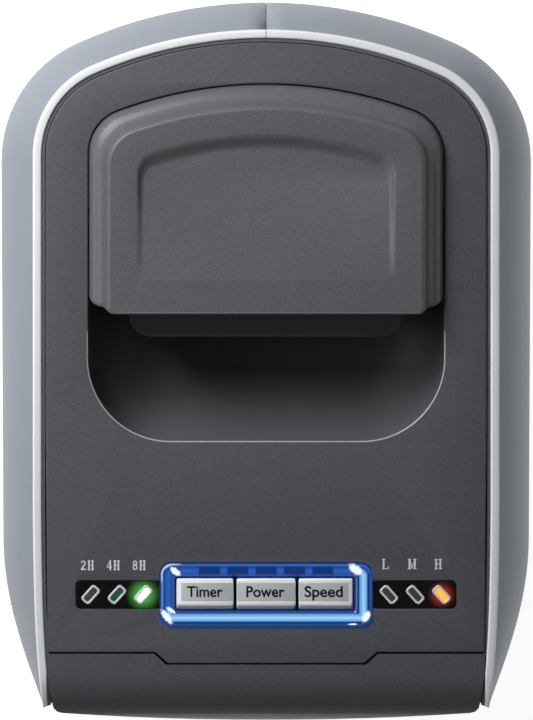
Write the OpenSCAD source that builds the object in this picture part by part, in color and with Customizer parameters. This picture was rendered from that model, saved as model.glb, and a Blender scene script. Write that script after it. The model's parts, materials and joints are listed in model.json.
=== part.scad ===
// Tower air purifier with a carry grip in its top.
// Millimetres. +Z up, +Y to the back, front cover at -Y, floor at z = 0.

/* [Body] */
// Width across the side shells at their widest
body_w = 216; // [210:1:226]
// Depth from the front cover to the back of the shells
body_d = 292; // [288:1:304]
// Height from the floor to the face of the carry grip
body_h = 400; // [396:1:440]
// Radius of the back of the body, seen from above
back_r = 187; // [180:1:200]
// Radius of the back corners, seen from above
corner_r = 52.4; // [48:0.2:56]
// Wall of the side shells
shell_wall = 3; // [2.4:0.1:3.2]
// How far the flank leans out below the rim at the sides
flank_w = 13.5; // [11:0.5:15]
// How far the flank leans out below the rim at the back
flank_back = 12; // [9:0.5:13]
// Height of the leaning flank
flank_h = 54; // [44:1:60]
// How far each shell draws in from its widest line to its front edge
front_taper = 17.6; // [16.6:0.2:18]
// How far the front edge of the shells lies behind the front cover
front_setback = 5; // [4.5:0.1:5.5]

/* [Rim and top panel] */
// Width of the bead along the rim of the shells
bead_w = 3.3; // [3:0.1:3.8]
// Width of the bead at the front edge
bead_front_w = 2; // [1.8:0.1:2.2]
// Radius of the back of the rim, seen from above
rim_back_r = 178; // [170:0.5:190]
// Radius of the back corners of the rim
rim_corner_r = 39.5; // [37:0.5:42]
// Gap between the bead and the top panel
panel_gap = 1.2; // [0.8:0.1:1.6]
// Thickness of the top panel
panel_t = 3; // [2.6:0.1:3.4]
// Depth of the front cover's cap, from the front to the parting line
cap_d = 27.6; // [26:0.2:29]
// How far the tongue of the panel reaches into the cap
tongue_d = 4.4; // [3:0.2:6]
// Half width of the tongue at its root
tongue_hw = 44.8; // [38:0.2:52]
// Radius of the roll from the top to the front
roll_r = 18; // [16:0.5:20]
// Gap of the parting lines
parting = 0.6; // [0.4:0.1:0.8]

/* [Front cover] */
// Wall of the front cover
cover_wall = 2.5; // [2.2:0.1:2.8]
// Radius of the front, seen from above
front_r = 1200; // [900:50:1600]
// Lower edge of the cover above the floor
cover_z0 = 9.5; // [9:0.1:10]
// Number of louvre rows
louvre_rows = 22; // [10:1:24]
// Spacing of the louvre rows
louvre_pitch = 12; // [11:0.5:12]
// Height of a louvre slot
louvre_h = 4.6; // [3:0.2:6]
// Length of a louvre slot
louvre_w = 68; // [50:1:72]
// Radius of the hinge pins
pin_r = 2; // [1.6:0.1:2.2]

/* [Carry grip] */
// Half width of the opening for the hood and the finger pocket
pocket_hw = 72.2; // [66:0.2:74]
// Distance from the back of the body to the back of the hood
hood_back = 33.7; // [32:0.1:38]
// Length of the hood, from back to front edge
hood_l = 93.6; // [88:0.2:98]
// Height of the hood above the panel
hood_h = 12; // [9:0.5:14]
// Width of the slope at the sides of the hood
hood_slope = 10.5; // [9:0.5:11.5]
// How far the front face of the hood is undercut
hood_undercut = 6; // [4:0.5:8]
// Depth of the dish in the hood
dish_h = 3.6; // [2:0.2:4.4]
// Half width of the dish
dish_hw = 51.8; // [46:0.2:54]
// Gap round the hood
hood_gap = 0.5; // [0.3:0.1:0.8]
// Length of the open part of the finger pocket, in front of the hood
pocket_l = 51.4; // [46:0.2:54]
// Depth of the finger pocket below the panel
pocket_h = 43; // [36:1:44]
// Front corner radius of the finger pocket
pocket_r = 32; // [26:0.5:36]
// How far the lip stands out below the hood
lip_out = 9.1; // [6:0.1:12]

/* [Keys and lamps] */
// Distance from the front to the line of the keys
keys_y = 51; // [49:0.1:53]
// Length of a key across the front
key_l = 22.7; // [21:0.1:23.4]
// Depth of a key
key_d = 12.8; // [11:0.1:14]
// Gap between keys
key_gap = 1.25; // [0.8:0.05:1.6]
// Height of the keys above the panel
key_rise = 1.3; // [0.8:0.1:1.6]
// Travel of a key
key_travel = 1; // [0.6:0.1:1.2]
// Gap round the keys
key_clear = 0.25; // [0.15:0.05:0.4]
// Width of the bezel's border at its ends
bezel_end = 6.8; // [5:0.2:8]
// Width of the bezel's border at its sides
bezel_side = 6.2; // [5:0.2:7]
// Height of the bezel above the panel
bezel_rise = 1.8; // [1.2:0.1:2.4]
// Length of the indicator strip
strip_l = 153.8; // [150:0.2:158]
// Depth of the indicator strip
strip_d = 10.9; // [9:0.1:12]
// Spacing of the lamps
lamp_pitch = 10.65; // [9.5:0.05:11.2]
// Distance of the outer lamps from the middle
lamp_x = 71.1; // [70:0.1:72]
// Length of a lamp frame
lamp_l = 8; // [7:0.1:8.6]
// Width of a lamp frame
lamp_w = 4.3; // [3.8:0.1:4.8]
// Lean of the lamps
lamp_lean = 48; // [40:1:55]

/* [Fan and filter] */
// Height of the fan axis above the floor
fan_z = 180; // [170:1:186]
// Outer radius of the fan wheel
fan_r = 68; // [62:0.5:69]
// Number of blades
blades = 36; // [24:1:40]
// Axial length of the fan wheel
fan_l = 50; // [40:1:52]
// Radius of the motor shaft
shaft_r = 4; // [3:0.1:4.5]
// Radial clearance of the shaft in its bearings
shaft_clear = 0.05; // [0.02:0.01:0.08]
// Radius of the motor can
motor_r = 36; // [32:0.5:40]
// Length of the motor can
motor_l = 45; // [40:1:50]
// Depth of the filter
filter_d = 32; // [24:1:33]
// Number of pleats
pleats = 24; // [16:1:28]

/* [Base and back] */
// Height of the feet
foot_h = 4; // [3:0.5:6]
// Radius of the feet
foot_r = 9; // [7:0.5:11]
// Half width of the outlet grille
outlet_hw = 61.5; // [54:0.5:66]
// Lower edge of the outlet grille
outlet_z0 = 18; // [16:1:24]
// Number of outlet slats
slats = 26; // [16:1:27]
// Radius of the cord entry
gland_r = 3.6; // [3:0.1:4]
// Height of the cord entry
gland_z = 42; // [38:1:48]

/* [Hidden] */
$fn = 48;

// Levels
top_z = body_h - hood_h;           // upper face of the panel
panel_z = top_z - panel_t;         // lower face of the panel
wide_z = top_z - 2 - flank_h;      // where the flank starts
shell_z0 = foot_h + 1;             // lower edge of the shells
base_t = 3;                        // floor of the base plate
floor_z = foot_h + base_t;         // upper face of that floor

// Plan of the body
half_w = body_w / 2;
back_y = body_d / 2;
front_y = -body_d / 2;
rim_hw = half_w - flank_w;
rim_back = back_y - flank_back;
shell_front = [half_w - front_taper, front_y + front_setback];
side_draw = 0.8;                   // draft of the side toward the front
panel_hw = rim_hw - bead_w - panel_gap;
panel_back = rim_back - bead_w - panel_gap;
roll_y = front_y + roll_r;
part_y = front_y + cap_d;          // parting line of the panel and the cap
back_centre = back_y - back_r;     // centre of the back radius

// Points of a curve: arc stations and Bezier stations
back_steps = 10;
corner_steps = 12;
side_steps = 3;
draw_steps = 14;
function arc(c, r, a0, a1, n, first = 0) =
    [for (i = [first:n]) let (a = a0 + (a1 - a0) * i / n) [c.x + r * sin(a), c.y + r * cos(a)]];
function bezier(p, n) =
    [for (i = [1:n]) let (t = i / n, s = 1 - t)
        s * s * s * p[0] + 3 * s * s * t * p[1] + 3 * s * t * t * p[2] + t * t * t * p[3]];
// Closed outline of a right half and its mirror image; a point on the middle line comes once
function mirrored(half) =
    concat(half, [for (i = [len(half) - 1:-1:0]) if (half[i].x > 0) [-half[i].x, half[i].y]]);

// Right half of an arch: back arc and corner arc, from the middle of the back to the side
function arch_half(hw, back, r1, r2) =
    let (turn = asin((hw - r2) / (r1 - r2)), cy = back - r1 + (r1 - r2) * cos(turn))
    concat(arc([0, back - r1], r1, 0, turn, back_steps),
        arc([hw - r2, cy], r2, turn, 90, corner_steps, 1));

// Right half of a shell line: arch, side and the draw-in toward the front edge
function shell_line(hw, back, r1, r2, curve) =
    let (arch = arch_half(hw, back, r1, r2), from = arch[len(arch) - 1])
    concat(arch,
        [for (i = [1:side_steps]) from + (curve[0] - from) * i / side_steps],
        bezier(curve, draw_steps));
wide_line = shell_line(half_w, back_y, back_r, corner_r,
    [[half_w - side_draw, front_y + 74], [half_w - side_draw, front_y + 50],
     shell_front + [9.3, 23.3], shell_front]);
rim_line = shell_line(rim_hw, rim_back, rim_back_r, rim_corner_r,
    [[rim_hw, front_y + 86], [rim_hw - 0.3, front_y + 51],
     [rim_hw - 0.9, front_y + 26], shell_front]);
stations = len(wide_line);

// Outward normal of a line at station i
function normal(line, i) =
    let (a = line[max(i - 1, 0)], b = line[min(i + 1, len(line) - 1)], d = (b - a) / norm(b - a))
    i == 0 ? [0, 1] : [-d.y, d.x];

// Closed outline with an arch at the back and rounded corners at the front
front_steps = 8;
function arch_outline(hw, back, front, r1, r2, rf) =
    mirrored(concat(arch_half(hw, back, r1, r2),
        arc([hw - rf, front + rf], rf, 90, 180, front_steps, 1)));
// The same outline drawn in by d
function arch_inset(a, d) =
    arch_outline(a[0] - d, a[1] - d, a[2] + d, a[3] - d, max(a[4] - d, 2), max(a[5] - d, 2));
function at_z(points, z) = [for (p = points) [p.x, p.y, z]];

// Solid through closed rings of equal length, capped across the first and last ring.
// A cap is a strip of triangles between points i and sum - i of its ring.
function cap_strip(n, sum) = [for (i = [0:ceil((sum - 1) / 2) - 1])
    let (a = i, b = i + 1, c = (sum - i - 1) % n, d = (sum - i) % n)
    each concat(b == c ? [] : [[a, b, c]], a == d ? [] : [[a, c, d]])];
module skin(rings, sum) {
    n = len(rings[0]);
    m = len(rings);
    cap = cap_strip(n, sum);
    sides = [for (j = [0:m - 2], i = [0:n - 1])
        let (a = j * n + i, b = j * n + (i + 1) % n)
        each [[a, b + n, b], [a, a + n, b + n]]];
    polyhedron([for (r = rings) each r], concat(sides, cap,
        [for (f = cap) [for (k = [2:-1:0]) f[k] + (m - 1) * n]]), convexity = 8);
}

// Small helpers
module block(x0, x1, y0, y1, z0, z1) translate([x0, y0, z0]) cube([x1 - x0, y1 - y0, z1 - z0]);
module both_sides() for (s = [-1, 1]) scale([s, 1, 1]) children();
module along_y(y) translate([0, y, fan_z]) rotate([-90, 0, 0]) children();
module rounded(l, w, r) {
    square([l - 2 * r, w], center = true);
    square([l, w - 2 * r], center = true);
    for (x = [-1, 1], y = [-1, 1]) translate([x * (l / 2 - r), y * (w / 2 - r)]) circle(r);
}

// ---- Side shells -------------------------------------------------------------------------
seam_x = 0.1;                      // each shell ends this far from the middle
bead_drop = 1.2;
ledge_drop = top_z - panel_z + 3.8;   // ledge that the panel's skirt rests on
ledge_w = 3.4;
ledge_t = 2.4;
flank_steps = 9;
flank_turn = 70;
function rim_z(y) = y > roll_y ? top_z : top_z - roll_r + sqrt(roll_r ^ 2 - (roll_y - y) ^ 2);
function flank_share(a) = (cos(a) - cos(flank_turn)) / (1 - cos(flank_turn));

function shell_section(i) =
    let (w = wide_line[i], r = rim_line[i], n = normal(wide_line, i), z = rim_z(r.y),
        front = (r.y - roll_y) / (shell_front.y - roll_y),
        bead = bead_w + (bead_front_w - bead_w) * max(0, min(1, front)),
        ledge = r.y > part_y + 2 ? ledge_w : 0.1,
        low = z - ledge_drop - ledge_t - 2,
        turns = [for (k = [0:flank_steps]) flank_turn * k / flank_steps],
        across = function (o, h) [max(r.x - n.x * o, seam_x), r.y - n.y * o, h],
        flank = function (a, o, end)
            let (p = r + (w - r) * flank_share(a) - n * o)
            [max(p.x, seam_x), p.y, wide_z + (end - wide_z) * sin(a) / sin(flank_turn)])
    concat(
        [[max(w.x, seam_x), w.y, shell_z0]],
        [for (a = turns) flank(a, 0, z - bead_drop)],
        [for (a = [30:30:90]) across(bead_drop * (1 - cos(a)), z - bead_drop * (1 - sin(a)))],
        [for (a = [90:-30:0]) across(bead - bead_drop * (1 - cos(a)), z - bead_drop * (1 - sin(a)))],
        [across(bead, z - ledge_drop), across(bead + ledge, z - ledge_drop),
         across(bead + ledge, z - ledge_drop - ledge_t)],
        [for (k = [flank_steps:-1:0]) flank(turns[k], shell_wall, low)],
        [[max(w.x - n.x * shell_wall, seam_x), w.y - n.y * shell_wall, shell_z0]]);

outlet_z1 = wide_z - 6;            // top of the outlet opening
outlet_angle = asin(outlet_hw / back_r);
module side_shell() {
    difference() {
        skin([for (i = [0:stations - 1]) shell_section(i)], len(shell_section(0)) - 1);
        block(-1, outlet_hw, back_y - 20, back_y + 1, outlet_z0, outlet_z1);
    }
}
module side_shell_right() color([0.62, 0.64, 0.67]) side_shell();
module side_shell_left() color([0.62, 0.64, 0.67]) mirror([1, 0, 0]) side_shell();

// ---- Top panel ---------------------------------------------------------------------------
hood_y1 = back_y - hood_back + hood_gap;       // back of the opening
hood_front = hood_y1 - hood_gap - hood_l;      // front edge of the hood's face
pocket_y0 = hood_front - pocket_l;             // front of the opening
hood_back_r = 199;
hood_corner_r = 11;
opening = [pocket_hw, hood_y1, pocket_y0, hood_back_r, hood_corner_r, pocket_r];

key_line = front_y + keys_y;
middle_key_l = key_l + 1.2;
keys_l = 2 * key_l + middle_key_l + 2 * key_gap;
key_hole = [keys_l + 2 * key_clear, key_d + 2 * key_clear];
bezel = [key_hole.x + 2 * bezel_end, key_hole.y + 2 * bezel_side];
bezel_r = 4.9;
fit = 0.15;                        // clearance of trim in its recess
recess = 2;                        // depth of the strip's recess
lamps = [for (side = [-1, 1], k = [0:2]) [side * (lamp_x - k * lamp_pitch), side]];
stem_l = 4.6;
stem_w = 1.6;
module at_lamp(p) translate([p[0], key_line, 0]) rotate([0, 0, -p[1] * lamp_lean]) children();

function panel_half(d) =
    let (arch = arch_half(panel_hw - d, panel_back - d, rim_back_r - bead_w - panel_gap - d,
        rim_corner_r - bead_w - panel_gap - d))
    concat(arch, [[panel_hw - d, front_y + 120], [panel_hw - 0.8 - d, part_y]]);
module panel_shape(d) polygon(mirrored(panel_half(d)));
module tongue(grow) {
    slope = tongue_d * 1.1;
    half = [[tongue_hw + grow, part_y + 1], [tongue_hw + grow, part_y - grow],
        [tongue_hw - slope + grow, part_y - tongue_d - grow]];
    polygon(mirrored(half));
}

skirt_t = 2;
board_z = top_z - 17;              // upper face of the control board
board_hw = 78;                     // half width and half depth of the control board
board_hd = 21;
board_t = 1.6;
board_hole = [board_hw - 6, board_hd - 5.5];
module at_board_holes() for (x = [-1, 1], y = [-1, 1])
    translate([x * board_hole.x, key_line + y * board_hole.y, 0]) children();

module top_panel() color([0.22, 0.23, 0.25]) {
    difference() {
        union() {
            translate([0, 0, panel_z]) linear_extrude(panel_t) {
                panel_shape(0);
                tongue(0);
            }
            translate([0, 0, top_z - ledge_drop + 0.2]) linear_extrude(ledge_drop - panel_t)
                intersection() {
                    difference() {
                        panel_shape(0.3);
                        panel_shape(0.3 + skirt_t);
                    }
                    translate([-half_w, part_y + 4]) square([body_w, body_d]);
                }
            at_board_holes() translate([0, 0, board_z]) cylinder(h = panel_z - board_z + 1, r = 3.2);
        }
        translate([0, 0, panel_z - 6]) linear_extrude(panel_t + 12) polygon(arch_inset(opening, 0));
        translate([0, key_line, top_z - recess]) linear_extrude(recess + 1)
            rounded(strip_l + 2 * fit, strip_d + 2 * fit, 1.8);
        translate([0, key_line, panel_z - 1]) linear_extrude(panel_t + 2)
            rounded(bezel.x + 2 * fit, bezel.y + 2 * fit, bezel_r);
        for (p = lamps) at_lamp(p) translate([0, 0, panel_z - 1]) linear_extrude(panel_t)
            rounded(stem_l + 0.6, stem_w + 0.6, 0.5);
        at_board_holes() translate([0, 0, board_z - 1]) cylinder(h = 13, r = 1.25);
    }
}

// ---- Front cover -------------------------------------------------------------------------
cap_t = 2.2;
cap_hw = panel_hw - 1.4;           // half width of the cap at the parting line
face_hw = cap_hw - 1.8;            // half width of the front face
return_d = 12;                     // depth of the cover's side walls
hinge = [front_y + 10, cover_z0 + 4.5];
hinge_x = face_hw - 12;
ear_r = pin_r + 2.2;
ear_t = 4;
magnet_x = 58;
magnet_z = wide_z + 24;
magnet = [10, 1.5, 10];
rib_y = front_y + 11.7;            // back of the ribs that hold the magnets

function front_at(x, d) = front_y + d + front_r - d - sqrt((front_r - d) ^ 2 - x ^ 2);
function cover_half(d) =
    let (r = 4, x = face_hw - d)
    concat([for (i = [0:6]) let (s = (x - r) * i / 6) [s, front_at(s, d)]],
        [for (a = [30:30:90]) [x - r + r * sin(a), front_at(x - r, d) + r * (1 - cos(a))]],
        [[cap_hw - d, roll_y + 1], [cap_hw - d, part_y - parting]]);
module cover_plan(d) {
    half = cover_half(d);
    polygon(mirrored(half));
}
module cover_profile(d, z0) {
    translate([-half_w, 0, 0]) rotate([90, 0, 90]) linear_extrude(body_w) {
        translate([roll_y, top_z - roll_r]) intersection() {
            circle(roll_r - d, $fn = 96);
            translate([-roll_r, 0]) square(roll_r);
        }
        translate([front_y + d, z0]) square([roll_r - d, top_z - roll_r - z0]);
        translate([roll_y, z0]) square([cap_d, top_z - d - z0]);
    }
}
louvre_z0 = (cover_z0 + wide_z) / 2 - (louvre_rows - 1) * louvre_pitch / 2 + 4;
module louvre_slots() {
    for (k = [0:louvre_rows - 1], s = [-1, 1])
        translate([s * (louvre_w / 2 + 5), front_y - 1, louvre_z0 + k * louvre_pitch])
            rotate([-90, 0, 0]) linear_extrude(10) rounded(louvre_w, louvre_h, louvre_h / 2 - 0.01);
}
module front_cover() color([0.2, 0.21, 0.23]) {
    difference() {
        union() {
            difference() {
                intersection() {
                    translate([0, 0, cover_z0]) linear_extrude(body_h) cover_plan(0);
                    cover_profile(0, cover_z0);
                }
                intersection() {
                    translate([0, 0, cover_z0 - 1]) linear_extrude(body_h) cover_plan(cover_wall);
                    cover_profile(cap_t, cover_z0 - 1);
                }
                block(-half_w, half_w, front_y + return_d, part_y + 1, cover_z0 - 1, top_z - cap_t);
                translate([0, 0, top_z - cap_t - 1]) linear_extrude(cap_t + 2) tongue(parting);
            }
            both_sides() {
                translate([hinge_x - ear_t, hinge[0], hinge[1]]) rotate([0, 90, 0])
                    cylinder(h = ear_t, r = ear_r);
                block(hinge_x - ear_t, hinge_x, front_y + cover_wall + 0.6, hinge[0],
                    hinge[1] - 2, hinge[1] + ear_r);
                block(magnet_x, magnet_x + magnet.x, front_y + cover_wall, rib_y,
                    magnet_z, magnet_z + magnet.z);
            }
        }
        louvre_slots();
        both_sides() translate([hinge_x - ear_t - 1, hinge[0], hinge[1]]) rotate([0, 90, 0])
            cylinder(h = ear_t + 2, r = pin_r + shaft_clear);
    }
}
module cover_hinge_pins() color([0.7, 0.7, 0.72]) both_sides()
    translate([hinge_x - ear_t - 1, hinge[0], hinge[1]]) rotate([0, 90, 0])
        cylinder(h = 2 * ear_t + 2, r = pin_r);
module cover_magnets() color([0.5, 0.5, 0.52]) both_sides()
    block(magnet_x, magnet_x + magnet.x, rib_y, rib_y + magnet.y, magnet_z, magnet_z + magnet.z);

// ---- Base, feet, gland and outlet grille -------------------------------------------------
base_in = shell_wall + 0.3;
base_front = front_y + 15;
lip_h = 9;
inner_line = [for (i = [0:stations - 1]) wide_line[i] - normal(wide_line, i) * base_in];
function base_half(d) = [for (i = [0:stations - 1]) inner_line[i] - normal(wide_line, i) * d];
module base_shape(d) {
    half = base_half(d);
    intersection() {
        polygon(mirrored(half));
        translate([-half_w, base_front + d]) square([body_w, body_d]);
    }
}
foot_at = [half_w - 36, back_y - 58];
screw_at = [half_w - 30, back_y - 86];
power_y = 55;                      // middle of the power board
power_hw = 70;                     // half width and half depth of the power board
power_hd = 34;
standoff_z = floor_z + 13;
standoff_at = [power_hw - 8, power_hd - 6];
module at_corners(p, y = 0) for (x = [-1, 1], s = [-1, 1])
    translate([x * p.x, y + s * p.y, 0]) children();

module base_plate() color([0.13, 0.13, 0.14]) {
    difference() {
        union() {
            translate([0, 0, foot_h]) linear_extrude(base_t) base_shape(0);
            translate([0, 0, foot_h]) linear_extrude(base_t + lip_h) difference() {
                base_shape(0);
                base_shape(2.4);
            }
            at_corners(standoff_at, power_y) translate([0, 0, foot_h])
                cylinder(h = standoff_z - foot_h, r = 4);
            both_sides() {
                block(hinge_x + 0.4, hinge_x + 0.4 + ear_t, hinge[0], base_front + 1,
                    hinge[1] - ear_r, hinge[1] + 2);
                translate([hinge_x + 0.4, hinge[0], hinge[1]]) rotate([0, 90, 0])
                    cylinder(h = ear_t, r = ear_r);
            }
        }
        both_sides() translate([hinge_x - 1, hinge[0], hinge[1]]) rotate([0, 90, 0])
            cylinder(h = ear_t + 3, r = pin_r + 0.03);
        at_corners(screw_at) {
            translate([0, 0, foot_h - 1]) cylinder(h = 2.6, r = 3.6);
            translate([0, 0, foot_h]) cylinder(h = base_t + 1, r = 1.8);
        }
    }
}
module feet() color([0.05, 0.05, 0.05]) at_corners(foot_at)
    cylinder(h = foot_h, r = foot_r);
module base_screws() color([0.6, 0.6, 0.62]) at_corners(screw_at) {
    translate([0, 0, foot_h + 0.2]) cylinder(h = 1.4, r = 3.1);
    translate([0, 0, foot_h + 1.6]) cylinder(h = 11, r = 1.6);
}

grille_r = back_r - 0.6;
grille_t = 2.6;
slat_z0 = outlet_z0 + 58;
slat_pitch = (outlet_z1 - 14 - slat_z0) / slats;
module back_sector(r0, r1, angle, z0, z1) {
    translate([0, back_centre, z0]) rotate([0, 0, 90 - angle])
        rotate_extrude(angle = 2 * angle, $fn = 96) translate([r0, 0]) square([r1 - r0, z1 - z0]);
}
module rear_grille() color([0.13, 0.13, 0.14]) {
    flange = outlet_angle + 1.6;
    inside = back_r - shell_wall - 0.2;
    window = outlet_angle - 2;
    difference() {
        union() {
            back_sector(grille_r - grille_t, grille_r, outlet_angle - 0.15,
                outlet_z0 + 0.5, outlet_z1 - 0.5);
            back_sector(inside - 2, inside, flange, floor_z + lip_h + 0.3, outlet_z1 + 4);
        }
        back_sector(grille_r - 20, grille_r + 5, window, slat_z0 - 3, outlet_z1 - 10);
        translate([0, back_y - 20, gland_z]) rotate([-90, 0, 0]) cylinder(h = 30, r = gland_r + 3.1);
        translate([0, back_y - 2.4, gland_z]) rotate([-90, 0, 0]) cylinder(h = 10, r = gland_r + 7.2);
    }
    for (k = [0:slats - 1]) translate([0, back_centre, slat_z0 + k * slat_pitch])
        rotate([0, 0, 90 - window - 0.3]) rotate_extrude(angle = 2 * window + 0.6, $fn = 96)
            polygon([[grille_r - 4.6, 3.4], [grille_r - 4.6, 5], [grille_r, 1.8], [grille_r, 0.2]]);
}
module cord_gland() color([0.05, 0.05, 0.05]) translate([0, 0, gland_z]) rotate([-90, 0, 0])
    difference() {
        union() {
            translate([0, 0, back_y - 2.3]) cylinder(h = 2, r = gland_r + 7);
            translate([0, 0, back_y - 18]) cylinder(h = 16, r = gland_r + 3);
            translate([0, 0, back_y - 18]) cylinder(h = 2.5, r = gland_r + 5.5);
        }
        translate([0, 0, back_y - 19]) cylinder(h = 20, r = gland_r);
    }

// ---- Carry grip --------------------------------------------------------------------------
hood_base = [pocket_hw - hood_gap, hood_y1 - hood_gap, hood_front + hood_undercut,
    hood_back_r, hood_corner_r, 2.5];
// Inset and height of the slope round the hood, from its foot over a cove to its crest, as shares
slope_line = [[0, 0.05], [0.06, 0.25], [0.22, 0.41], [0.45, 0.52], [0.62, 0.68], [0.77, 0.875],
    [0.89, 0.967], [1, 1]];
slope_back = 1.2;                  // the slope is wider at the back by this factor
slope_turn = 0.35;                 // gain of the corner radius with the inset
skirt_z = top_z - 7;
lip_t = 5;
lip_z = skirt_z - 0.2 - lip_t;
lip_hw = 55.6;
lip_r = 9;
bracket_t = 2.3;
bracket_z = lip_z - 0.2 - bracket_t;
bracket_y = [hood_y1 - 51, hood_y1 - 21];
lip_back = bracket_y[1] + 3;
screw_x = 46;
boss_y = [bracket_y[0] + 8, bracket_y[1] - 7];
dish = [dish_hw, hood_base[1] - 20.5, hood_front + 17, 150, 9, 4];
dish_slope = 5;
module at_hood_screws() for (x = [-1, 1], y = boss_y) translate([x * screw_x, y, 0]) children();
function hood_ring(p) = let (w = p.x * hood_slope)
    at_z(arch_outline(hood_base[0] - w, hood_base[1] - w * slope_back,
        hood_front + hood_undercut * (1 - p.y), hood_base[3] - w, hood_base[4] + w * slope_turn,
        hood_base[5]), top_z + p.y * hood_h);

module grip_hood() color([0.25, 0.26, 0.28]) {
    face = body_h;
    ceiling = face - 7;
    floor_ring = [for (p = arch_outline(dish[0] - 3.4, dish[1] - dish_slope, dish[2] + 1,
        dish[3], dish[4] - 3, dish[5])) [p.x, p.y,
        face - dish_h * (p.y - dish[2]) / (dish[1] - dish_slope - dish[2])]];
    rings = concat(
        [floor_ring, at_z(arch_inset(dish, 0), face)],
        [for (k = [len(slope_line) - 1:-1:0]) hood_ring(slope_line[k])],
        [at_z(arch_inset(hood_base, 0), skirt_z),
         at_z(arch_inset(hood_base, 2.8), skirt_z),
         at_z(arch_inset(hood_base, 2.8), top_z),
         at_z(arch_inset(hood_base, 11), ceiling)]);
    difference() {
        union() {
            skin(rings, len(rings[0]));
            at_hood_screws() translate([0, 0, skirt_z]) cylinder(h = ceiling - skirt_z + 1, r = 4.2);
        }
        at_hood_screws() translate([0, 0, skirt_z - 1]) cylinder(h = ceiling - skirt_z - 1, r = 1.95);
    }
}
module grip_lip() color([0.12, 0.12, 0.13]) translate([0, 0, lip_z]) difference() {
    linear_extrude(lip_t) translate([0, (hood_front - lip_out + lip_back) / 2])
        rounded(2 * lip_hw, lip_back - hood_front + lip_out, lip_r);
    at_hood_screws() translate([0, 0, -1]) cylinder(h = lip_t + 2, r = 2.2);
}
module carry_bracket() color([0.6, 0.62, 0.64]) difference() {
    block(-frame_x1, frame_x1, bracket_y[0], bracket_y[1], bracket_z, bracket_z + bracket_t);
    at_hood_screws() translate([0, 0, bracket_z - 1]) cylinder(h = bracket_t + 2, r = 2.2);
}
module hood_screws() color([0.6, 0.6, 0.62]) at_hood_screws() {
    translate([0, 0, bracket_z - 2.2]) cylinder(h = 2.2, r = 3.8);
    translate([0, 0, bracket_z]) cylinder(h = 17, r = 1.9);
}

// The pocket is a bowl with a flange under the panel; the flange lies lower behind the hood's front
pocket_t = 2;
flange_w = 5;
pocket_back = hood_front + 33;
bowl = [pocket_hw + 0.3, pocket_back, pocket_y0 - 0.3, 300, 22, pocket_r + 0.3];
bowl_z = top_z - pocket_h;
bowl_low = lip_z - 0.8;            // level of the flange behind the hood's front
side_share = 0.25;                 // where the straight sides have one more point
function bowl_points(d) =
    let (hw = bowl[0] - d, front = bowl[2] + d, rf = max(bowl[5] - d, 2),
        arch = arch_half(hw, bowl[1] - d, bowl[3] - d, max(bowl[4] - d, 2)),
        end = arch[len(arch) - 1], corner = arc([hw - rf, front + rf], rf, 90, 180, front_steps))
    mirrored(concat(arch, [end + (corner[0] - end) * side_share], corner));
function bowl_level(y, z) = y < hood_front + 6 || z < bowl_z ? z
    : bowl_z + (z - bowl_z) * (bowl_low - bowl_z) / (panel_z - bowl_z);
function bowl_ring(d, z) =
    let (rim = bowl_points(0), p = bowl_points(d))
    [for (i = [0:len(p) - 1]) [p[i].x, p[i].y, bowl_level(rim[i].y, z)]];
bowl_turns = 8;
bowl_in = 34;                      // how far the wall draws in toward the floor
wall_h = 9;                        // straight height of the wall under the panel
function bowl_side(out) = [for (k = [0:bowl_turns]) let (a = 86 * k / bowl_turns)
    [bowl_in * (1 - cos(a)) - out * cos(a),
     panel_z - wall_h - (panel_z - wall_h - bowl_z) * sin(a) / sin(86) - out * sin(a)]];
module grip_pocket() color([0.1, 0.1, 0.11]) {
    inside = bowl_side(0);
    outside = bowl_side(pocket_t);
    rings = concat(
        [for (k = [bowl_turns:-1:0]) bowl_ring(inside[k][0], inside[k][1])],
        [bowl_ring(0, panel_z), bowl_ring(-flange_w, panel_z),
         bowl_ring(-flange_w, panel_z - pocket_t), bowl_ring(-pocket_t, panel_z - pocket_t)],
        [for (side = outside) bowl_ring(side[0], side[1])]);
    skin(rings, len(rings[0]));
}

// ---- Keys, bezel and lamps ---------------------------------------------------------------
module key_bezel() color([0.3, 0.5, 0.95]) translate([0, key_line, panel_z]) difference() {
    linear_extrude(panel_t + bezel_rise) rounded(bezel.x, bezel.y, bezel_r);
    translate([0, 0, -1]) linear_extrude(panel_t + bezel_rise + 2) rounded(key_hole.x, key_hole.y, 1);
}
module indicator_lenses() color([0.02, 0.02, 0.02]) difference() {
    translate([0, key_line, top_z - recess]) linear_extrude(recess + 0.2) difference() {
        rounded(strip_l, strip_d, 1.6);
        square([bezel.x + 4 * fit, bezel.y], center = true);
    }
    for (p = lamps) at_lamp(p) translate([0, 0, top_z - recess - 1]) linear_extrude(recess + 2)
        rounded(lamp_l + 0.1, lamp_w + 0.1, 1.35);
}
border = 0.9;                      // border of a lamp frame
module lamp_frames() color([0.8, 0.82, 0.84]) for (p = lamps) at_lamp(p)
    translate([0, 0, top_z - recess]) linear_extrude(recess + 0.5) difference() {
        rounded(lamp_l, lamp_w, 1.3);
        rounded(lamp_l - 2 * border, lamp_w - 2 * border, 0.8);
    }
lamp_top = board_z + 2.4;
module window(k) at_lamp(lamps[k]) {
    translate([0, 0, top_z - recess]) linear_extrude(recess + 0.3)
        rounded(lamp_l - 2 * border - 0.1, lamp_w - 2 * border - 0.1, 0.75);
    translate([0, 0, lamp_top + 0.3]) linear_extrude(top_z - recess - lamp_top)
        rounded(stem_l, stem_w, 0.4);
}
module window_2h() color([0.25, 0.27, 0.27]) window(0);
module window_4h() color([0.2, 0.36, 0.33]) window(1);
module window_8h() color([0.4, 1, 0.6]) window(2);
module window_high() color([1, 0.5, 0.15]) window(3);
module window_medium() color([0.25, 0.25, 0.27]) window(4);
module window_low() color([0.25, 0.25, 0.27]) window(5);

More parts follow.
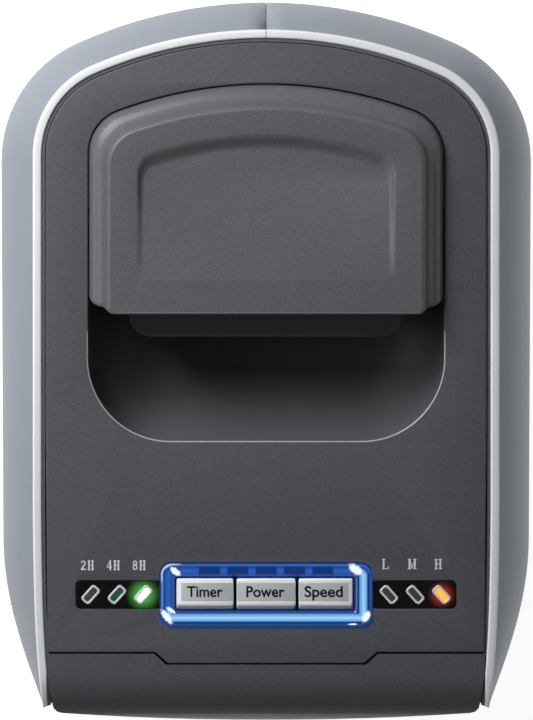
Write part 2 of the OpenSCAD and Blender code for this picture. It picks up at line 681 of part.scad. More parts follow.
// A key: cap, flange under the bezel, and a stem over its switch
flange_d = 0.8;
switch_h = 3.4;
stem_z = board_z + switch_h + key_travel + 0.2;
module key(x, l) translate([x, key_line, 0]) {
    translate([0, 0, panel_z - 0.6]) linear_extrude(panel_t + key_rise + 0.6) rounded(l, key_d, 0.8);
    translate([0, 0, panel_z - 1.8]) linear_extrude(1.2) square([l, key_d + 2 * flange_d + 2 * key_clear],
        center = true);
    translate([0, 0, stem_z]) cylinder(h = panel_z - 1.5 - stem_z, r = 2.4);
}
key_step = (middle_key_l + key_l) / 2 + key_gap;
module timer_key() color([0.8, 0.81, 0.83]) key(-key_step, key_l);
module power_key() color([0.8, 0.81, 0.83]) key(0, middle_key_l);
module speed_key() color([0.8, 0.81, 0.83]) key(key_step, key_l);
module at_keys() for (x = [-key_step, 0, key_step]) translate([x, key_line, 0]) children();

guide_hole = [key_hole.x + 3, key_hole.y + 4];
blue_at = [-24, -12, 0, 12, 24];
module light_guide() color([0.85, 0.9, 1]) translate([0, key_line, panel_z - 1.8]) difference() {
    linear_extrude(1.8) rounded(bezel.x + 8, bezel.y + 8, 4);
    translate([0, 0, -1]) linear_extrude(4) rounded(guide_hole.x, guide_hole.y, 1);
    for (x = blue_at) translate([x - 3.2, bezel.y / 2 - 3.6, -1]) cube([6.4, 2.8, 4]);
}
module blue_lamps() color([0.1, 0.2, 0.8]) for (x = blue_at)
    translate([x - 3, key_line + bezel.y / 2 - 3.4, panel_z - 1.7]) cube([6, 2.4, 1.5]);
module key_switches() color([0.1, 0.1, 0.1]) at_keys() {
    translate([-3, -3, board_z]) cube([6, 6, switch_h - 0.6]);
    translate([0, 0, board_z]) cylinder(h = switch_h, r = 1.7);
}
module control_board() color([0.1, 0.35, 0.2]) difference() {
    block(-board_hw, board_hw, key_line - board_hd, key_line + board_hd, board_z - board_t, board_z);
    at_board_holes() translate([0, 0, board_z - 3]) cylinder(h = 5, r = 1.5);
}
module indicator_lamps() color([0.9, 0.9, 0.85]) for (p = lamps) at_lamp(p)
    translate([-1.6, -0.9, board_z]) cube([3.2, 1.8, lamp_top - board_z]);
module board_screws() color([0.6, 0.6, 0.62]) at_board_holes() {
    translate([0, 0, board_z - board_t - 1.8]) cylinder(h = 1.8, r = 2.6);
    translate([0, 0, board_z - board_t]) cylinder(h = 9, r = 1.2);
}

// ---- Chassis -----------------------------------------------------------------------------
frame_t = 3;
frame_x1 = half_w - 19.5;          // outer face of the side walls
frame_x0 = frame_x1 - frame_t;     // inner face of the side walls
bay_y0 = front_y + 15.4;           // front of the filter bay
wall_y = bay_y0 + 38.6;            // front of the partition
wall_t = 3;
bay_z0 = floor_z + 17;
frame_z1 = wide_z + 6;             // top of the side walls
shelf_t = 3;
bay_z1 = frame_z1 - 6;             // under the top shelf
frame_y1 = bracket_y[1];
inlet_r = fan_r - 4;
tab_z = magnet_z + magnet.z;
module chassis() color([0.3, 0.31, 0.33]) difference() {
    union() {
        both_sides() {
            block(frame_x0, frame_x1, wall_y, frame_y1, floor_z, frame_z1);
            block(frame_x0, frame_x1, bay_y0, wall_y + 1, bay_z0, frame_z1);
            block(frame_x0, frame_x1, bracket_y[0], frame_y1, frame_z1 - 1, bracket_z);
            block(magnet_x, magnet_x + magnet.x, bay_y0, bay_y0 + 4, bay_z1, tab_z);
        }
        block(-frame_x1, frame_x1, bay_y0, wall_y + 1, bay_z0, bay_z0 + shelf_t);
        block(-frame_x1, frame_x1, bay_y0, wall_y + 1, bay_z1, bay_z1 + shelf_t);
        difference() {
            block(-frame_x1, frame_x1, wall_y, wall_y + wall_t, floor_z, frame_z1);
            along_y(wall_y - 1) cylinder(h = wall_t + 2, r = inlet_r);
        }
        at_corners(screw_at) translate([0, 0, floor_z]) cylinder(h = 12, r = 4);
        both_sides() for (y = [-1, 1])
            block(screw_at.x, frame_x0 + 1, y * screw_at.y - 2, y * screw_at.y + 2, floor_z, floor_z + 12);
    }
    at_corners(screw_at) translate([0, 0, floor_z - 1]) cylinder(h = 11.5, r = 1.65);
}
module keeper_plates() color([0.65, 0.66, 0.68]) both_sides()
    block(magnet_x, magnet_x + magnet.x, bay_y0 - 1.8, bay_y0, magnet_z, magnet_z + magnet.z);
module cover_switch() color([0.1, 0.1, 0.1]) {
    block(-9, 9, bay_y0 + 2, bay_y0 + 12, bay_z1 + shelf_t, bay_z1 + shelf_t + 9);
    block(-2, 2, bay_y0 - 1, bay_y0 + 2, bay_z1 + shelf_t + 3, bay_z1 + shelf_t + 5);
}

// ---- Filter ------------------------------------------------------------------------------
gasket_t = 3;
filter_hw = frame_x0 - 1.5;
filter_z0 = bay_z0 + shelf_t + 0.3;
filter_z1 = bay_z1 - 1.5;
filter_y1 = wall_y - gasket_t;
filter_y0 = filter_y1 - filter_d;
frame_wall = 3;
module filter_ring(y0, y1, w) difference() {
    block(-filter_hw, filter_hw, y0, y1, filter_z0, filter_z1);
    block(-filter_hw + w, filter_hw - w, y0 - 1, y1 + 1, filter_z0 + w, filter_z1 - w);
}
module filter_frame() color([0.85, 0.85, 0.82]) filter_ring(filter_y0, filter_y1, frame_wall);
module filter_gasket() color([0.15, 0.15, 0.15]) filter_ring(filter_y1, wall_y, 6);
module filter_pleats() color([0.93, 0.93, 0.9]) {
    x1 = filter_hw - frame_wall - 0.2;
    step = x1 / pleats;
    zig = function (d) [for (i = [0:2 * pleats])
        [-x1 + i * step, i % 2 == 0 ? filter_y0 + 1.5 + d : filter_y1 - 3.5 + d]];
    z0 = filter_z0 + frame_wall + 0.2;
    translate([0, 0, z0]) linear_extrude(filter_z1 - frame_wall - 0.2 - z0)
        polygon(concat(zig(0), [for (i = [2 * pleats:-1:0]) zig(2)[i]]));
}
prefilter_t = 2.8;
module prefilter() color([0.08, 0.08, 0.08]) {
    y1 = filter_y0 - 0.2;
    nx = 6;
    nz = 11;
    bar = 2;
    dx = (2 * filter_hw - 8 + bar) / nx;
    dz = (filter_z1 - filter_z0 - 8 + bar) / nz;
    difference() {
        block(-filter_hw, filter_hw, y1 - prefilter_t, y1, filter_z0, filter_z1);
        for (i = [0:nx - 1], k = [0:nz - 1])
            translate([-filter_hw + 4 + i * dx, y1 - prefilter_t - 1, filter_z0 + 4 + k * dz])
                cube([dx - bar, prefilter_t + 2, dz - bar]);
    }
}

// ---- Fan ---------------------------------------------------------------------------------
duct_y0 = wall_y + wall_t;
duct_y1 = duct_y0 + fan_l + 17;    // front of the back plate
back_t = 2.5;
wheel_y0 = duct_y0 + 13;
wheel_y1 = wheel_y0 + fan_l;
hub_r = 12;
blade_in = fan_r - 14;
module inlet_ring() color([0.3, 0.31, 0.33]) along_y(duct_y0) rotate_extrude($fn = 96)
    polygon([[inlet_r - 4, 0], [inlet_r + 10, 0], [inlet_r + 10, 2.5], [inlet_r - 2, 2.5],
        [blade_in + 1, 6], [blade_in - 1, 11.5], [blade_in - 3, 11.5], [blade_in - 1, 5]]);
module blade() {
    mid = (blade_in + fan_r) / 2;
    lean = [0, 2.6, 8.5];
    r = [blade_in, mid, fan_r - 0.2];
    line = [for (k = [0:2]) r[k] * [cos(lean[k]), sin(lean[k])]];
    linear_extrude(fan_l - 3) polygon(concat(line, [for (k = [2:-1:0]) line[k] + [0, 1.1]]));
}
module fan_wheel() color([0.2, 0.2, 0.21]) along_y(wheel_y0) {
    difference() {
        union() {
            translate([0, 0, fan_l - 2]) cylinder(h = 2, r = fan_r);
            translate([0, 0, fan_l - 24]) cylinder(h = 24, r = hub_r);
        }
        translate([0, 0, fan_l - 30]) cylinder(h = 32, r = shaft_r);
    }
    difference() {
        cylinder(h = 2, r = fan_r);
        translate([0, 0, -1]) cylinder(h = 4, r = fan_r - 5);
    }
    for (k = [0:blades - 1]) rotate([0, 0, k * 360 / blades]) translate([0, 0, 1.5]) blade();
}
// A wall of even thickness along a line of points
function wall_side(p, t) = [for (i = [0:len(p) - 1])
    let (a = p[max(i - 1, 0)], b = p[min(i + 1, len(p) - 1)], d = (b - a) / norm(b - a))
    p[i] + t * [-d.y, d.x]];
function reversed(p) = [for (i = [len(p) - 1:-1:0]) p[i]];
module wall_2d(p, t) polygon(concat(p, reversed(wall_side(p, t))));
scroll_t = 2;
scroll_top = 104;                  // the scroll's mouth above the fan axis
scroll_low = 92;                   // lower edge of the back plate below the fan axis
module fan_scroll() color([0.3, 0.31, 0.33]) {
    r0 = fan_r + 4;
    r1 = frame_x0 - scroll_t - 1;
    cutoff = 50;
    turns = 40;
    spiral = [for (i = [0:turns]) let (a = cutoff + (360 - cutoff) * i / turns,
        r = r0 + (r1 - r0) * i / turns) [r * cos(a), r * sin(a)]];
    line = concat([[r0 * cos(cutoff) - 2, scroll_top], spiral[0] + [-2, 8]], spiral,
        [[r1, scroll_top]]);
    translate([0, duct_y1, fan_z]) rotate([90, 0, 0]) linear_extrude(duct_y1 - duct_y0 - 2.5)
        wall_2d(line, -scroll_t);
}
module fan_back() color([0.3, 0.31, 0.33]) difference() {
    block(-frame_x0 + 0.2, frame_x0 - 0.2, duct_y1, duct_y1 + back_t,
        fan_z - scroll_low, fan_z + scroll_top);
    along_y(duct_y1 - 1) cylinder(h = back_t + 2, r = hub_r + 4);
    at_motor_screws() translate([0, 0, -1]) cylinder(h = back_t + 2, r = 1.7);
}
motor_y = duct_y1 + back_t;
flange_r = motor_r + 10;
module at_motor_screws() along_y(duct_y1) for (a = [45:90:315]) rotate([0, 0, a])
    translate([motor_r + 5, 0, 0]) children();
bearing_r = 9;
bearing_l = 6;
can_t = 3;
module motor_can() color([0.55, 0.56, 0.58]) difference() {
    union() {
        along_y(motor_y) cylinder(h = motor_l, r = motor_r);
        along_y(motor_y) cylinder(h = 3, r = flange_r);
    }
    along_y(motor_y + bearing_l) cylinder(h = motor_l - 2 * bearing_l, r = motor_r - can_t);
    along_y(motor_y - 1) cylinder(h = motor_l + 2, r = bearing_r);
    at_motor_screws() cylinder(h = back_t + 4, r = 1.7);
}
module motor_bearings() color([0.7, 0.71, 0.73]) for (y = [0, motor_l - bearing_l])
    along_y(motor_y + y) difference() {
        cylinder(h = bearing_l, r = bearing_r - 0.02);
        translate([0, 0, -1]) cylinder(h = bearing_l + 2, r = shaft_r + shaft_clear);
    }
rotor_y = motor_y + bearing_l + 4;
rotor_l = motor_l - 2 * bearing_l - 8;
rotor_r = motor_r - 16;
module motor_stator() color([0.5, 0.3, 0.15]) along_y(rotor_y) difference() {
    cylinder(h = rotor_l, r = motor_r - can_t - 0.1);
    translate([0, 0, -1]) cylinder(h = rotor_l + 2, r = rotor_r + 0.8);
}
module motor_rotor() color([0.6, 0.6, 0.62]) along_y(rotor_y) difference() {
    cylinder(h = rotor_l, r = rotor_r);
    translate([0, 0, -1]) cylinder(h = rotor_l + 2, r = shaft_r);
}
module motor_shaft() color([0.75, 0.76, 0.78]) along_y(wheel_y1 - 26)
    cylinder(h = motor_y + motor_l - wheel_y1 + 26, r = shaft_r);
module motor_screws() color([0.6, 0.6, 0.62]) at_motor_screws() {
    translate([0, 0, back_t + 3]) cylinder(h = 2, r = 3);
    translate([0, 0, 0.2]) cylinder(h = back_t + 3, r = 1.6);
}
module air_deflector() color([0.3, 0.31, 0.33]) {
    r = 42;
    z0 = frame_z1 - r - 6;
    line = concat([for (a = [0:9:90]) [duct_y0 + 3 + r * (1 - cos(a)), z0 + r * sin(a)]],
        [[frame_y1 - 50, z0 + r]]);
    translate([-frame_x0 + 0.2, 0, 0]) rotate([90, 0, 90]) linear_extrude(2 * frame_x0 - 0.4)
        wall_2d(line, 2);
}

// ---- Power supply and leads --------------------------------------------------------------
parts_z = standoff_z + board_t;
module power_board() color([0.1, 0.35, 0.2])
    block(-power_hw, power_hw, power_y - power_hd, power_y + power_hd, standoff_z, parts_z);
module transformer() color([0.3, 0.28, 0.1]) {
    block(-56, -14, power_y - 18, power_y + 18, parts_z, parts_z + 34);
    block(-60, -10, power_y - 10, power_y + 10, parts_z + 5, parts_z + 29);
}
module capacitor() color([0.1, 0.15, 0.35])
    translate([18, power_y - 8, parts_z]) cylinder(h = 30, r = 9);
terminal = [48, power_y + 20];
terminal_h = 12;
module terminal_block() color([0.1, 0.4, 0.2])
    block(terminal.x - 12, terminal.x + 12, terminal.y - 6, terminal.y + 6, parts_z, parts_z + terminal_h);

// A lead: an eight-sided tube through a list of points
lead_r = 1.5;
lead_sides = 8;
function lead_ring(p, i) =
    let (a = p[max(i - 1, 0)], b = p[min(i + 1, len(p) - 1)], d = (b - a) / norm(b - a),
        up = abs(d.z) > 0.9 ? [1, 0, 0] : [0, 0, 1],
        u = cross(d, up) / norm(cross(d, up)), v = cross(d, u))
    [for (k = [0:lead_sides - 1]) let (t = 360 * k / lead_sides)
        p[i] + lead_r * (u * cos(t) + v * sin(t))];
function curve_at(p, t) =
    let (n = len(p) - 1, i = min(floor(t), n - 1), s = t - i,
        a = p[max(i - 1, 0)], b = p[i], c = p[i + 1], d = p[min(i + 2, n)])
    0.5 * (2 * b + (c - a) * s + (2 * a - 5 * b + 4 * c - d) * s ^ 2 + (3 * b - a - 3 * c + d) * s ^ 3);
function curve(p, steps) = [for (i = [0:(len(p) - 1) * steps]) curve_at(p, i / steps)];
module lead(points) {
    line = curve(points, 4);
    skin([for (i = [0:len(line) - 1]) lead_ring(line, i)], lead_sides - 1);
}
lead_z = parts_z + terminal_h + lead_r + 0.1;
motor_end = [motor_r - 14, motor_y + motor_l + lead_r, fan_z - 10];
module motor_lead() color([0.15, 0.15, 0.15]) lead([
    [terminal.x - 4, terminal.y, lead_z], [terminal.x - 4, terminal.y - 2, lead_z + 12],
    [terminal.x - 8, terminal.y - 12, lead_z + 46], [motor_end.x + 8, motor_end.y + 12, fan_z - 50],
    [motor_end.x + 2, motor_end.y + 6, fan_z - 24], motor_end]);
wall_x = frame_x0 - lead_r - 0.4;  // the control lead climbs along the side wall
climb_y = frame_y1 - 30;
module control_lead() color([0.75, 0.75, 0.75]) lead([
    [terminal.x + 4, terminal.y, lead_z], [terminal.x + 8, terminal.y + 4, lead_z + 16],
    [wall_x - 18, terminal.y, lead_z + 46], [wall_x - 6, climb_y, fan_z - 60],
    [wall_x, climb_y, fan_z - 20], [wall_x, climb_y, fan_z + 50],
    [wall_x, climb_y, frame_z1 - 38], [wall_x, climb_y - 8, frame_z1 + 2],
    [wall_x - 2, climb_y - 52, board_z - 16], [wall_x - 3, key_line + 65, board_z - 14],
    [wall_x - 11, key_line + 33, board_z - 9], [wall_x - 21, key_line + 15, board_z - 3.4]]);

side_shell_left();
side_shell_right();
top_panel();
front_cover();
rear_grille();
base_plate();
feet();
grip_hood();
grip_lip();
grip_pocket();
indicator_lenses();
lamp_frames();
window_2h();
window_4h();
window_8h();
window_low();
window_medium();
window_high();
key_bezel();
timer_key();
power_key();
speed_key();
key_switches();
control_board();
indicator_lamps();
blue_lamps();
light_guide();
board_screws();
chassis();
carry_bracket();
hood_screws();
prefilter();
filter_frame();
filter_pleats();
filter_gasket();
inlet_ring();
fan_scroll();
fan_back();
fan_wheel();
motor_shaft();
motor_rotor();
motor_stator();
motor_can();
motor_bearings();
motor_screws();
air_deflector();
power_board();
transformer();
capacitor();
terminal_block();
motor_lead();
control_lead();
cord_gland();
base_screws();
cover_hinge_pins();
cover_magnets();
keeper_plates();
cover_switch();
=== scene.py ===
"""Looks of the tower air purifier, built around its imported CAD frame.

Blender objects are in metres, +Z up and the front at -Y. Shapes are worked out in millimetres.
"""

import json
import math

import bmesh
import bpy
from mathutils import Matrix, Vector
from mathutils.geometry import tessellate_polygon


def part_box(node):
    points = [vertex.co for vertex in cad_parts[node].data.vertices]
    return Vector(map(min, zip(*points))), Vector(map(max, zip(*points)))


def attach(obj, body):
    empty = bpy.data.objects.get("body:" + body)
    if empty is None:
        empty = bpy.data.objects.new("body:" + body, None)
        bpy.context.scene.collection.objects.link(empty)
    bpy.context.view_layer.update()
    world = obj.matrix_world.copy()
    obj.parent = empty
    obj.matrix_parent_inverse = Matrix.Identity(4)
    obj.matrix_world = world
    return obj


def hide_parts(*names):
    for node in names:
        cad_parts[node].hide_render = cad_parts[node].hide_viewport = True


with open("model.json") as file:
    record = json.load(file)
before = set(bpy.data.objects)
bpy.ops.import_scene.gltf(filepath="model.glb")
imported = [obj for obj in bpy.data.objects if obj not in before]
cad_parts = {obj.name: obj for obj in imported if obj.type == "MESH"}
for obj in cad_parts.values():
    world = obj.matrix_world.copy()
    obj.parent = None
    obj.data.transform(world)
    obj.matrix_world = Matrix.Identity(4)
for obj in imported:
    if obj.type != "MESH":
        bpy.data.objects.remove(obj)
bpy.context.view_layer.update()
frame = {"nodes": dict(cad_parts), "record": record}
nodes = frame["nodes"]
MM = 0.001


def span(node):
    """Lowest and highest corner of a CAD node, in millimetres."""
    low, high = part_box(node)
    return low / MM, high / MM


# ---- Sizes, in millimetres -------------------------------------------------------------------
PANEL = span("top_panel")
SHELL = span("side_shell_right")
HOOD = span("grip_hood")
BEZEL = span("key_bezel")
STRIP = span("indicator_lenses")

TOP_Z = PANEL[1].z                     # upper face of the panel
PANEL_T = 3.0
PANEL_Z = TOP_Z - PANEL_T
HALF_W = SHELL[1].x
BACK_Y = SHELL[1].y
FRONT_Y = -BACK_Y
SHELL_FRONT = Vector((HALF_W - 17.6, SHELL[0].y))
FLANK_W = 13.5                         # how far the flank leans out at the sides and at the back
FLANK_BACK = 12.0
RIM_R = (178.0, 39.5)                  # back and corner radius of the rim
WIDE_R = (187.0, 52.4)                 # back and corner radius of the widest line
RIM_HW = HALF_W - FLANK_W
RIM_BACK = BACK_Y - FLANK_BACK
BEAD_W = 3.4
PANEL_GAP = BEAD_W + 1.7               # from the rim to the edge of the panel
SEAL = (1.4, 0.9, 2.4)                 # width, top and foot of the dark seal inside the bead
BEAD_FRONT_W = 2.0
BEAD_ROUND = 0.9
ROLL_R = 18.0
ROLL_Y = FRONT_Y + ROLL_R
PART_Y = FRONT_Y + 27.6                # parting line of the panel and the front cover
TONGUE = (44.8, 4.4, 4.84)             # half width at the root, depth, slope's width
KEY_Y = (BEZEL[0].y + BEZEL[1].y) / 2
BEZEL_R = 4.9
LAMP_X = 71.1                          # middle of the outer lamp windows
LAMP_STEP = 10.65
EDGE_R = 0.55                          # rounding of the panel's edges
FIT = 0.15

# ---- Materials -----------------------------------------------------------------------------


def add(tree, kind, inputs=None, **settings):
    """A new node, with its settings, and its inputs set to values or joined to sockets."""
    node = tree.nodes.new(kind)
    for key, value in settings.items():
        setattr(node, key, value)
    for key, value in (inputs or {}).items():
        if isinstance(value, bpy.types.NodeSocket):
            tree.links.new(value, node.inputs[key])
        else:
            node.inputs[key].default_value = value
    return node


def calc(tree, operation, a, b=0.0):
    return add(tree, "ShaderNodeMath", {0: a, 1: b}, operation=operation).outputs[0]


def calc_vector(tree, operation, a, b=(0, 0, 0)):
    return add(tree, "ShaderNodeVectorMath", {0: a, 1: b}, operation=operation)


def new_material(name, colour, roughness, **sockets):
    """A material with one Principled shader; sockets are constants set on the shader itself."""
    mat = bpy.data.materials.new(name)
    mat.use_nodes = True
    shader = mat.node_tree.nodes["Principled BSDF"]
    shader.inputs["Base Color"].default_value = (*colour, 1)
    shader.inputs["Roughness"].default_value = roughness
    for key, value in sockets.items():
        shader.inputs[key.replace("_", " ")].default_value = value
    return mat, mat.node_tree, shader


def place(tree):
    """Position in the piece's own frame, in metres."""
    return add(tree, "ShaderNodeTexCoord").outputs["Object"]


def mix(tree, factor, a, b):
    """Colour a where the factor is 0 and b where it is 1."""
    node = add(tree, "ShaderNodeMix", data_type="RGBA")
    for socket, value in ((node.inputs[0], factor), (node.inputs[6], a), (node.inputs[7], b)):
        if isinstance(value, bpy.types.NodeSocket):
            tree.links.new(value, socket)
        else:
            socket.default_value = (*value, 1) if isinstance(value, tuple) else value
    return node.outputs[2]


def vary(tree, shader, colour, factor, amount):
    """Base colour made darker and lighter by a factor that runs from 0 to 1."""
    dark = tuple(c * (1 - amount) for c in colour)
    light = tuple(c * (1 + amount) for c in colour)
    tree.links.new(mix(tree, factor, dark, light), shader.inputs["Base Color"])


def bump(tree, shader, height, distance, strength=1.0):
    node = add(tree, "ShaderNodeBump", {"Height": height, "Distance": distance,
                                        "Strength": strength})
    tree.links.new(node.outputs["Normal"], shader.inputs["Normal"])


def rough(tree, shader, factor, low, high):
    ramp = add(tree, "ShaderNodeMapRange", {"Value": factor, "To Min": low, "To Max": high})
    tree.links.new(ramp.outputs["Result"], shader.inputs["Roughness"])


def noise(tree, size, detail=2.0, vector=None):
    return add(tree, "ShaderNodeTexNoise", {"Vector": vector or place(tree), "Scale": 1 / size,
                                            "Detail": detail}).outputs["Fac"]


def falloff(tree, distance, reach, power=2.0):
    """1 at distance 0 and below, down to 0 at the reach."""
    share = add(tree, "ShaderNodeMapRange", {"Value": distance, "From Min": 0.0,
                                             "From Max": reach, "To Min": 1.0, "To Max": 0.0})
    return calc(tree, "POWER", share.outputs["Result"], power)


def rounded_box_distance(tree, centre, half, radius):
    """Distance from a rounded box seen from above, in metres; below 0 inside it."""
    away = calc_vector(tree, "SUBTRACT", place(tree), centre).outputs[0]
    size = calc_vector(tree, "ABSOLUTE", away).outputs[0]
    q = calc_vector(tree, "SUBTRACT", size, (half[0] - radius, half[1] - radius, 1)).outputs[0]
    beyond = calc_vector(tree, "MAXIMUM", q).outputs[0]
    outside = calc_vector(tree, "LENGTH", beyond).outputs["Value"]
    part = add(tree, "ShaderNodeSeparateXYZ", {0: q})
    inside = calc(tree, "MINIMUM", calc(tree, "MAXIMUM", part.outputs[0], part.outputs[1]))
    return calc(tree, "SUBTRACT", calc(tree, "ADD", outside, inside), radius)


def spot(tree, centre, reach, power=2.0):
    """Share of painted light that falls off round a point, as far as the reach; height doesn't
    count.
    """
    away = calc_vector(tree, "SUBTRACT", place(tree), centre).outputs[0]
    away = calc_vector(tree, "MULTIPLY", away, (1, 1, 0)).outputs[0]
    return falloff(tree, calc_vector(tree, "LENGTH", away).outputs["Value"], reach, power)


def painted_glow(tree, shader, lamps):
    """Painted glow of several lamps on a surface, as emission: (share, colour) pairs that add up.
    """
    total = None
    for share, colour in lamps:
        light = calc_vector(tree, "SCALE", colour)
        tree.links.new(share, light.inputs["Scale"])
        total = light.outputs[0] if total is None else calc_vector(
            tree, "ADD", total, light.outputs[0]).outputs[0]
    tree.links.new(total, shader.inputs["Emission Color"])
    shader.inputs["Emission Strength"].default_value = 1.0


def flake_paint(name, colour, roughness, flake, amount, **sockets):
    """Plastic with fine metallic flakes: cells of the flake's size, some lighter, some darker."""
    mat, tree, shader = new_material(name, colour, roughness, **sockets)
    cells = add(tree, "ShaderNodeTexVoronoi", {"Vector": place(tree), "Scale": 1 / flake})
    cell = add(tree, "ShaderNodeSeparateColor", {"Color": cells.outputs["Color"]})
    vary(tree, shader, colour, cell.outputs["Red"], amount)
    rough(tree, shader, cell.outputs["Green"], roughness - 0.05, roughness + 0.05)
    bump(tree, shader, cell.outputs["Blue"], flake * 0.04, 0.2)
    return mat


def moulded(name, colour, roughness, grain=0.6 * MM, amount=0.06, depth=0.012 * MM, **sockets):
    """Moulded plastic or rubber with a fine grain."""
    mat, tree, shader = new_material(name, colour, roughness, **sockets)
    fine = noise(tree, grain, 3.0)
    vary(tree, shader, colour, noise(tree, 33 * MM), amount)
    rough(tree, shader, fine, roughness - 0.05, roughness + 0.05)
    bump(tree, shader, fine, depth)
    return mat


def sheet_metal(name, colour, roughness, stretch=(40, 1500, 1500), **sockets):
    """Metal with drawn or brushed lines along one axis."""
    mat, tree, shader = new_material(name, colour, roughness, Metallic=1.0, **sockets)
    scaled = add(tree, "ShaderNodeMapping", {"Vector": place(tree), "Scale": stretch})
    lines = noise(tree, 1.0, 2.0, scaled.outputs["Vector"])
    vary(tree, shader, colour, lines, 0.15)
    rough(tree, shader, lines, roughness - 0.08, roughness + 0.08)
    bump(tree, shader, lines, 0.01 * MM)
    return mat


def window(name, colour, light=(0, 0, 0), strength=0.0):
    """A lamp window of clouded plastic, lit or dark."""
    mat, tree, shader = new_material(name, colour, 0.25)
    cloud = noise(tree, 1.1 * MM)
    vary(tree, shader, colour, cloud, 0.15)
    bump(tree, shader, cloud, 0.02 * MM)
    shader.inputs["Emission Color"].default_value = (*light, 1)
    shader.inputs["Emission Strength"].default_value = strength
    return mat


def lamp_at(index, side):
    """Middle of a lamp window, counted from the outer end of its side, in metres."""
    return (side * (LAMP_X - LAMP_STEP * index) * MM, KEY_Y * MM, 0)


GREEN_AT = lamp_at(2, -1)
RED_AT = lamp_at(0, 1)
BEZEL_HALF = ((BEZEL[1].x - BEZEL[0].x) / 2 * MM, (BEZEL[1].y - BEZEL[0].y) / 2 * MM)
BEZEL_AT = (0, KEY_Y * MM, 0)


def bezel_distance(tree):
    """Distance from the bezel's outline, in metres; below 0 inside it."""
    return rounded_box_distance(tree, BEZEL_AT, BEZEL_HALF, BEZEL_R * MM)


def panel_plastic():
    """Dark flake plastic with a painted glow of the bezel and of the two lit lamps on it."""
    mat = flake_paint("dark_flake", (0.074, 0.076, 0.085), 0.45, 0.3 * MM, 0.22,
                      Specular_IOR_Level=0.25)
    tree = mat.node_tree
    shader = tree.nodes["Principled BSDF"]
    # Painted glow: blue round the bezel, green and red round the two lit lamps.
    painted_halo = falloff(tree, bezel_distance(tree), 4 * MM, 3.0)
    painted_glow(tree, shader, [(painted_halo, (0.005, 0.022, 0.08)),
                        (spot(tree, GREEN_AT, 9 * MM, 2.5), (0.02, 0.3, 0.04)),
                        (spot(tree, RED_AT, 7 * MM, 3.0), (0.12, 0.01, 0.01))])
    return mat


def strip_gloss():
    """Gloss black lens with a painted glow round the two lit lamps."""
    mat, tree, shader = new_material("gloss_black", (0.0015, 0.0015, 0.002), 0.1)
    bump(tree, shader, noise(tree, 2 * MM), 0.002 * MM)
    # Painted glow of the green and the orange lamp on the lens.
    painted_glow(tree, shader, [(spot(tree, GREEN_AT, 7.5 * MM, 1.7), (0.13, 0.75, 0.11)),
                        (spot(tree, RED_AT, 6.0 * MM, 1.7), (0.75, 0.04, 0.02))])
    return mat


def ramp(tree, factor, stops):
    """Colours along a factor; each stop is (place, colour)."""
    node = add(tree, "ShaderNodeValToRGB", {"Fac": factor})
    elements = node.color_ramp.elements
    while len(elements) < len(stops):
        elements.new(0.5)
    for element, (at, colour) in zip(elements, stops):
        element.position = at
        element.color = (*colour, 1)
    return node.outputs["Color"]


# Painted glints (highlights) in the corners of the bezel: place from its middle, length, width and
# angle
PAINTED_GLINTS = [(-36.8, 9.4, 2.6, 1.3, -40), (-40.4, -8.9, 3.6, 1.3, -52), (-38.6, -6.3, 2.2, 0.8, -35),
          (36.3, 10.3, 3.2, 1.8, -35), (40.5, -8.9, 2.6, 1.5, 55), (35.0, -12.0, 2.0, 0.35, 3)]


def bezel_point(x, y):
    return (x * MM, (KEY_Y + y) * MM, 0)


def patch(tree, centre, length, width, angle):
    """1 inside an ellipse with a soft, slightly ragged edge, seen from above."""
    away = calc_vector(tree, "SUBTRACT", place(tree), centre).outputs[0]
    turned = add(tree, "ShaderNodeVectorRotate", {"Vector": away, "Angle": -math.radians(angle)},
                 rotation_type="Z_AXIS").outputs[0]
    even = calc_vector(tree, "MULTIPLY", turned, (1 / length, 1 / width, 0)).outputs[0]
    ragged = calc(tree, "ADD", calc_vector(tree, "LENGTH", even).outputs["Value"], calc(
        tree, "MULTIPLY", calc(tree, "SUBTRACT", noise(tree, 1.0 * MM), 0.5), 0.9))
    edge = add(tree, "ShaderNodeMapRange", {"Value": ragged, "From Min": 1.1, "From Max": 0.7})
    return edge.outputs["Result"]


def step(tree, value, start, end):
    """0 before the start and 1 past the end, both in millimetres."""
    return add(tree, "ShaderNodeMapRange", {"Value": value, "From Min": start * MM,
                                            "From Max": end * MM}).outputs[0]


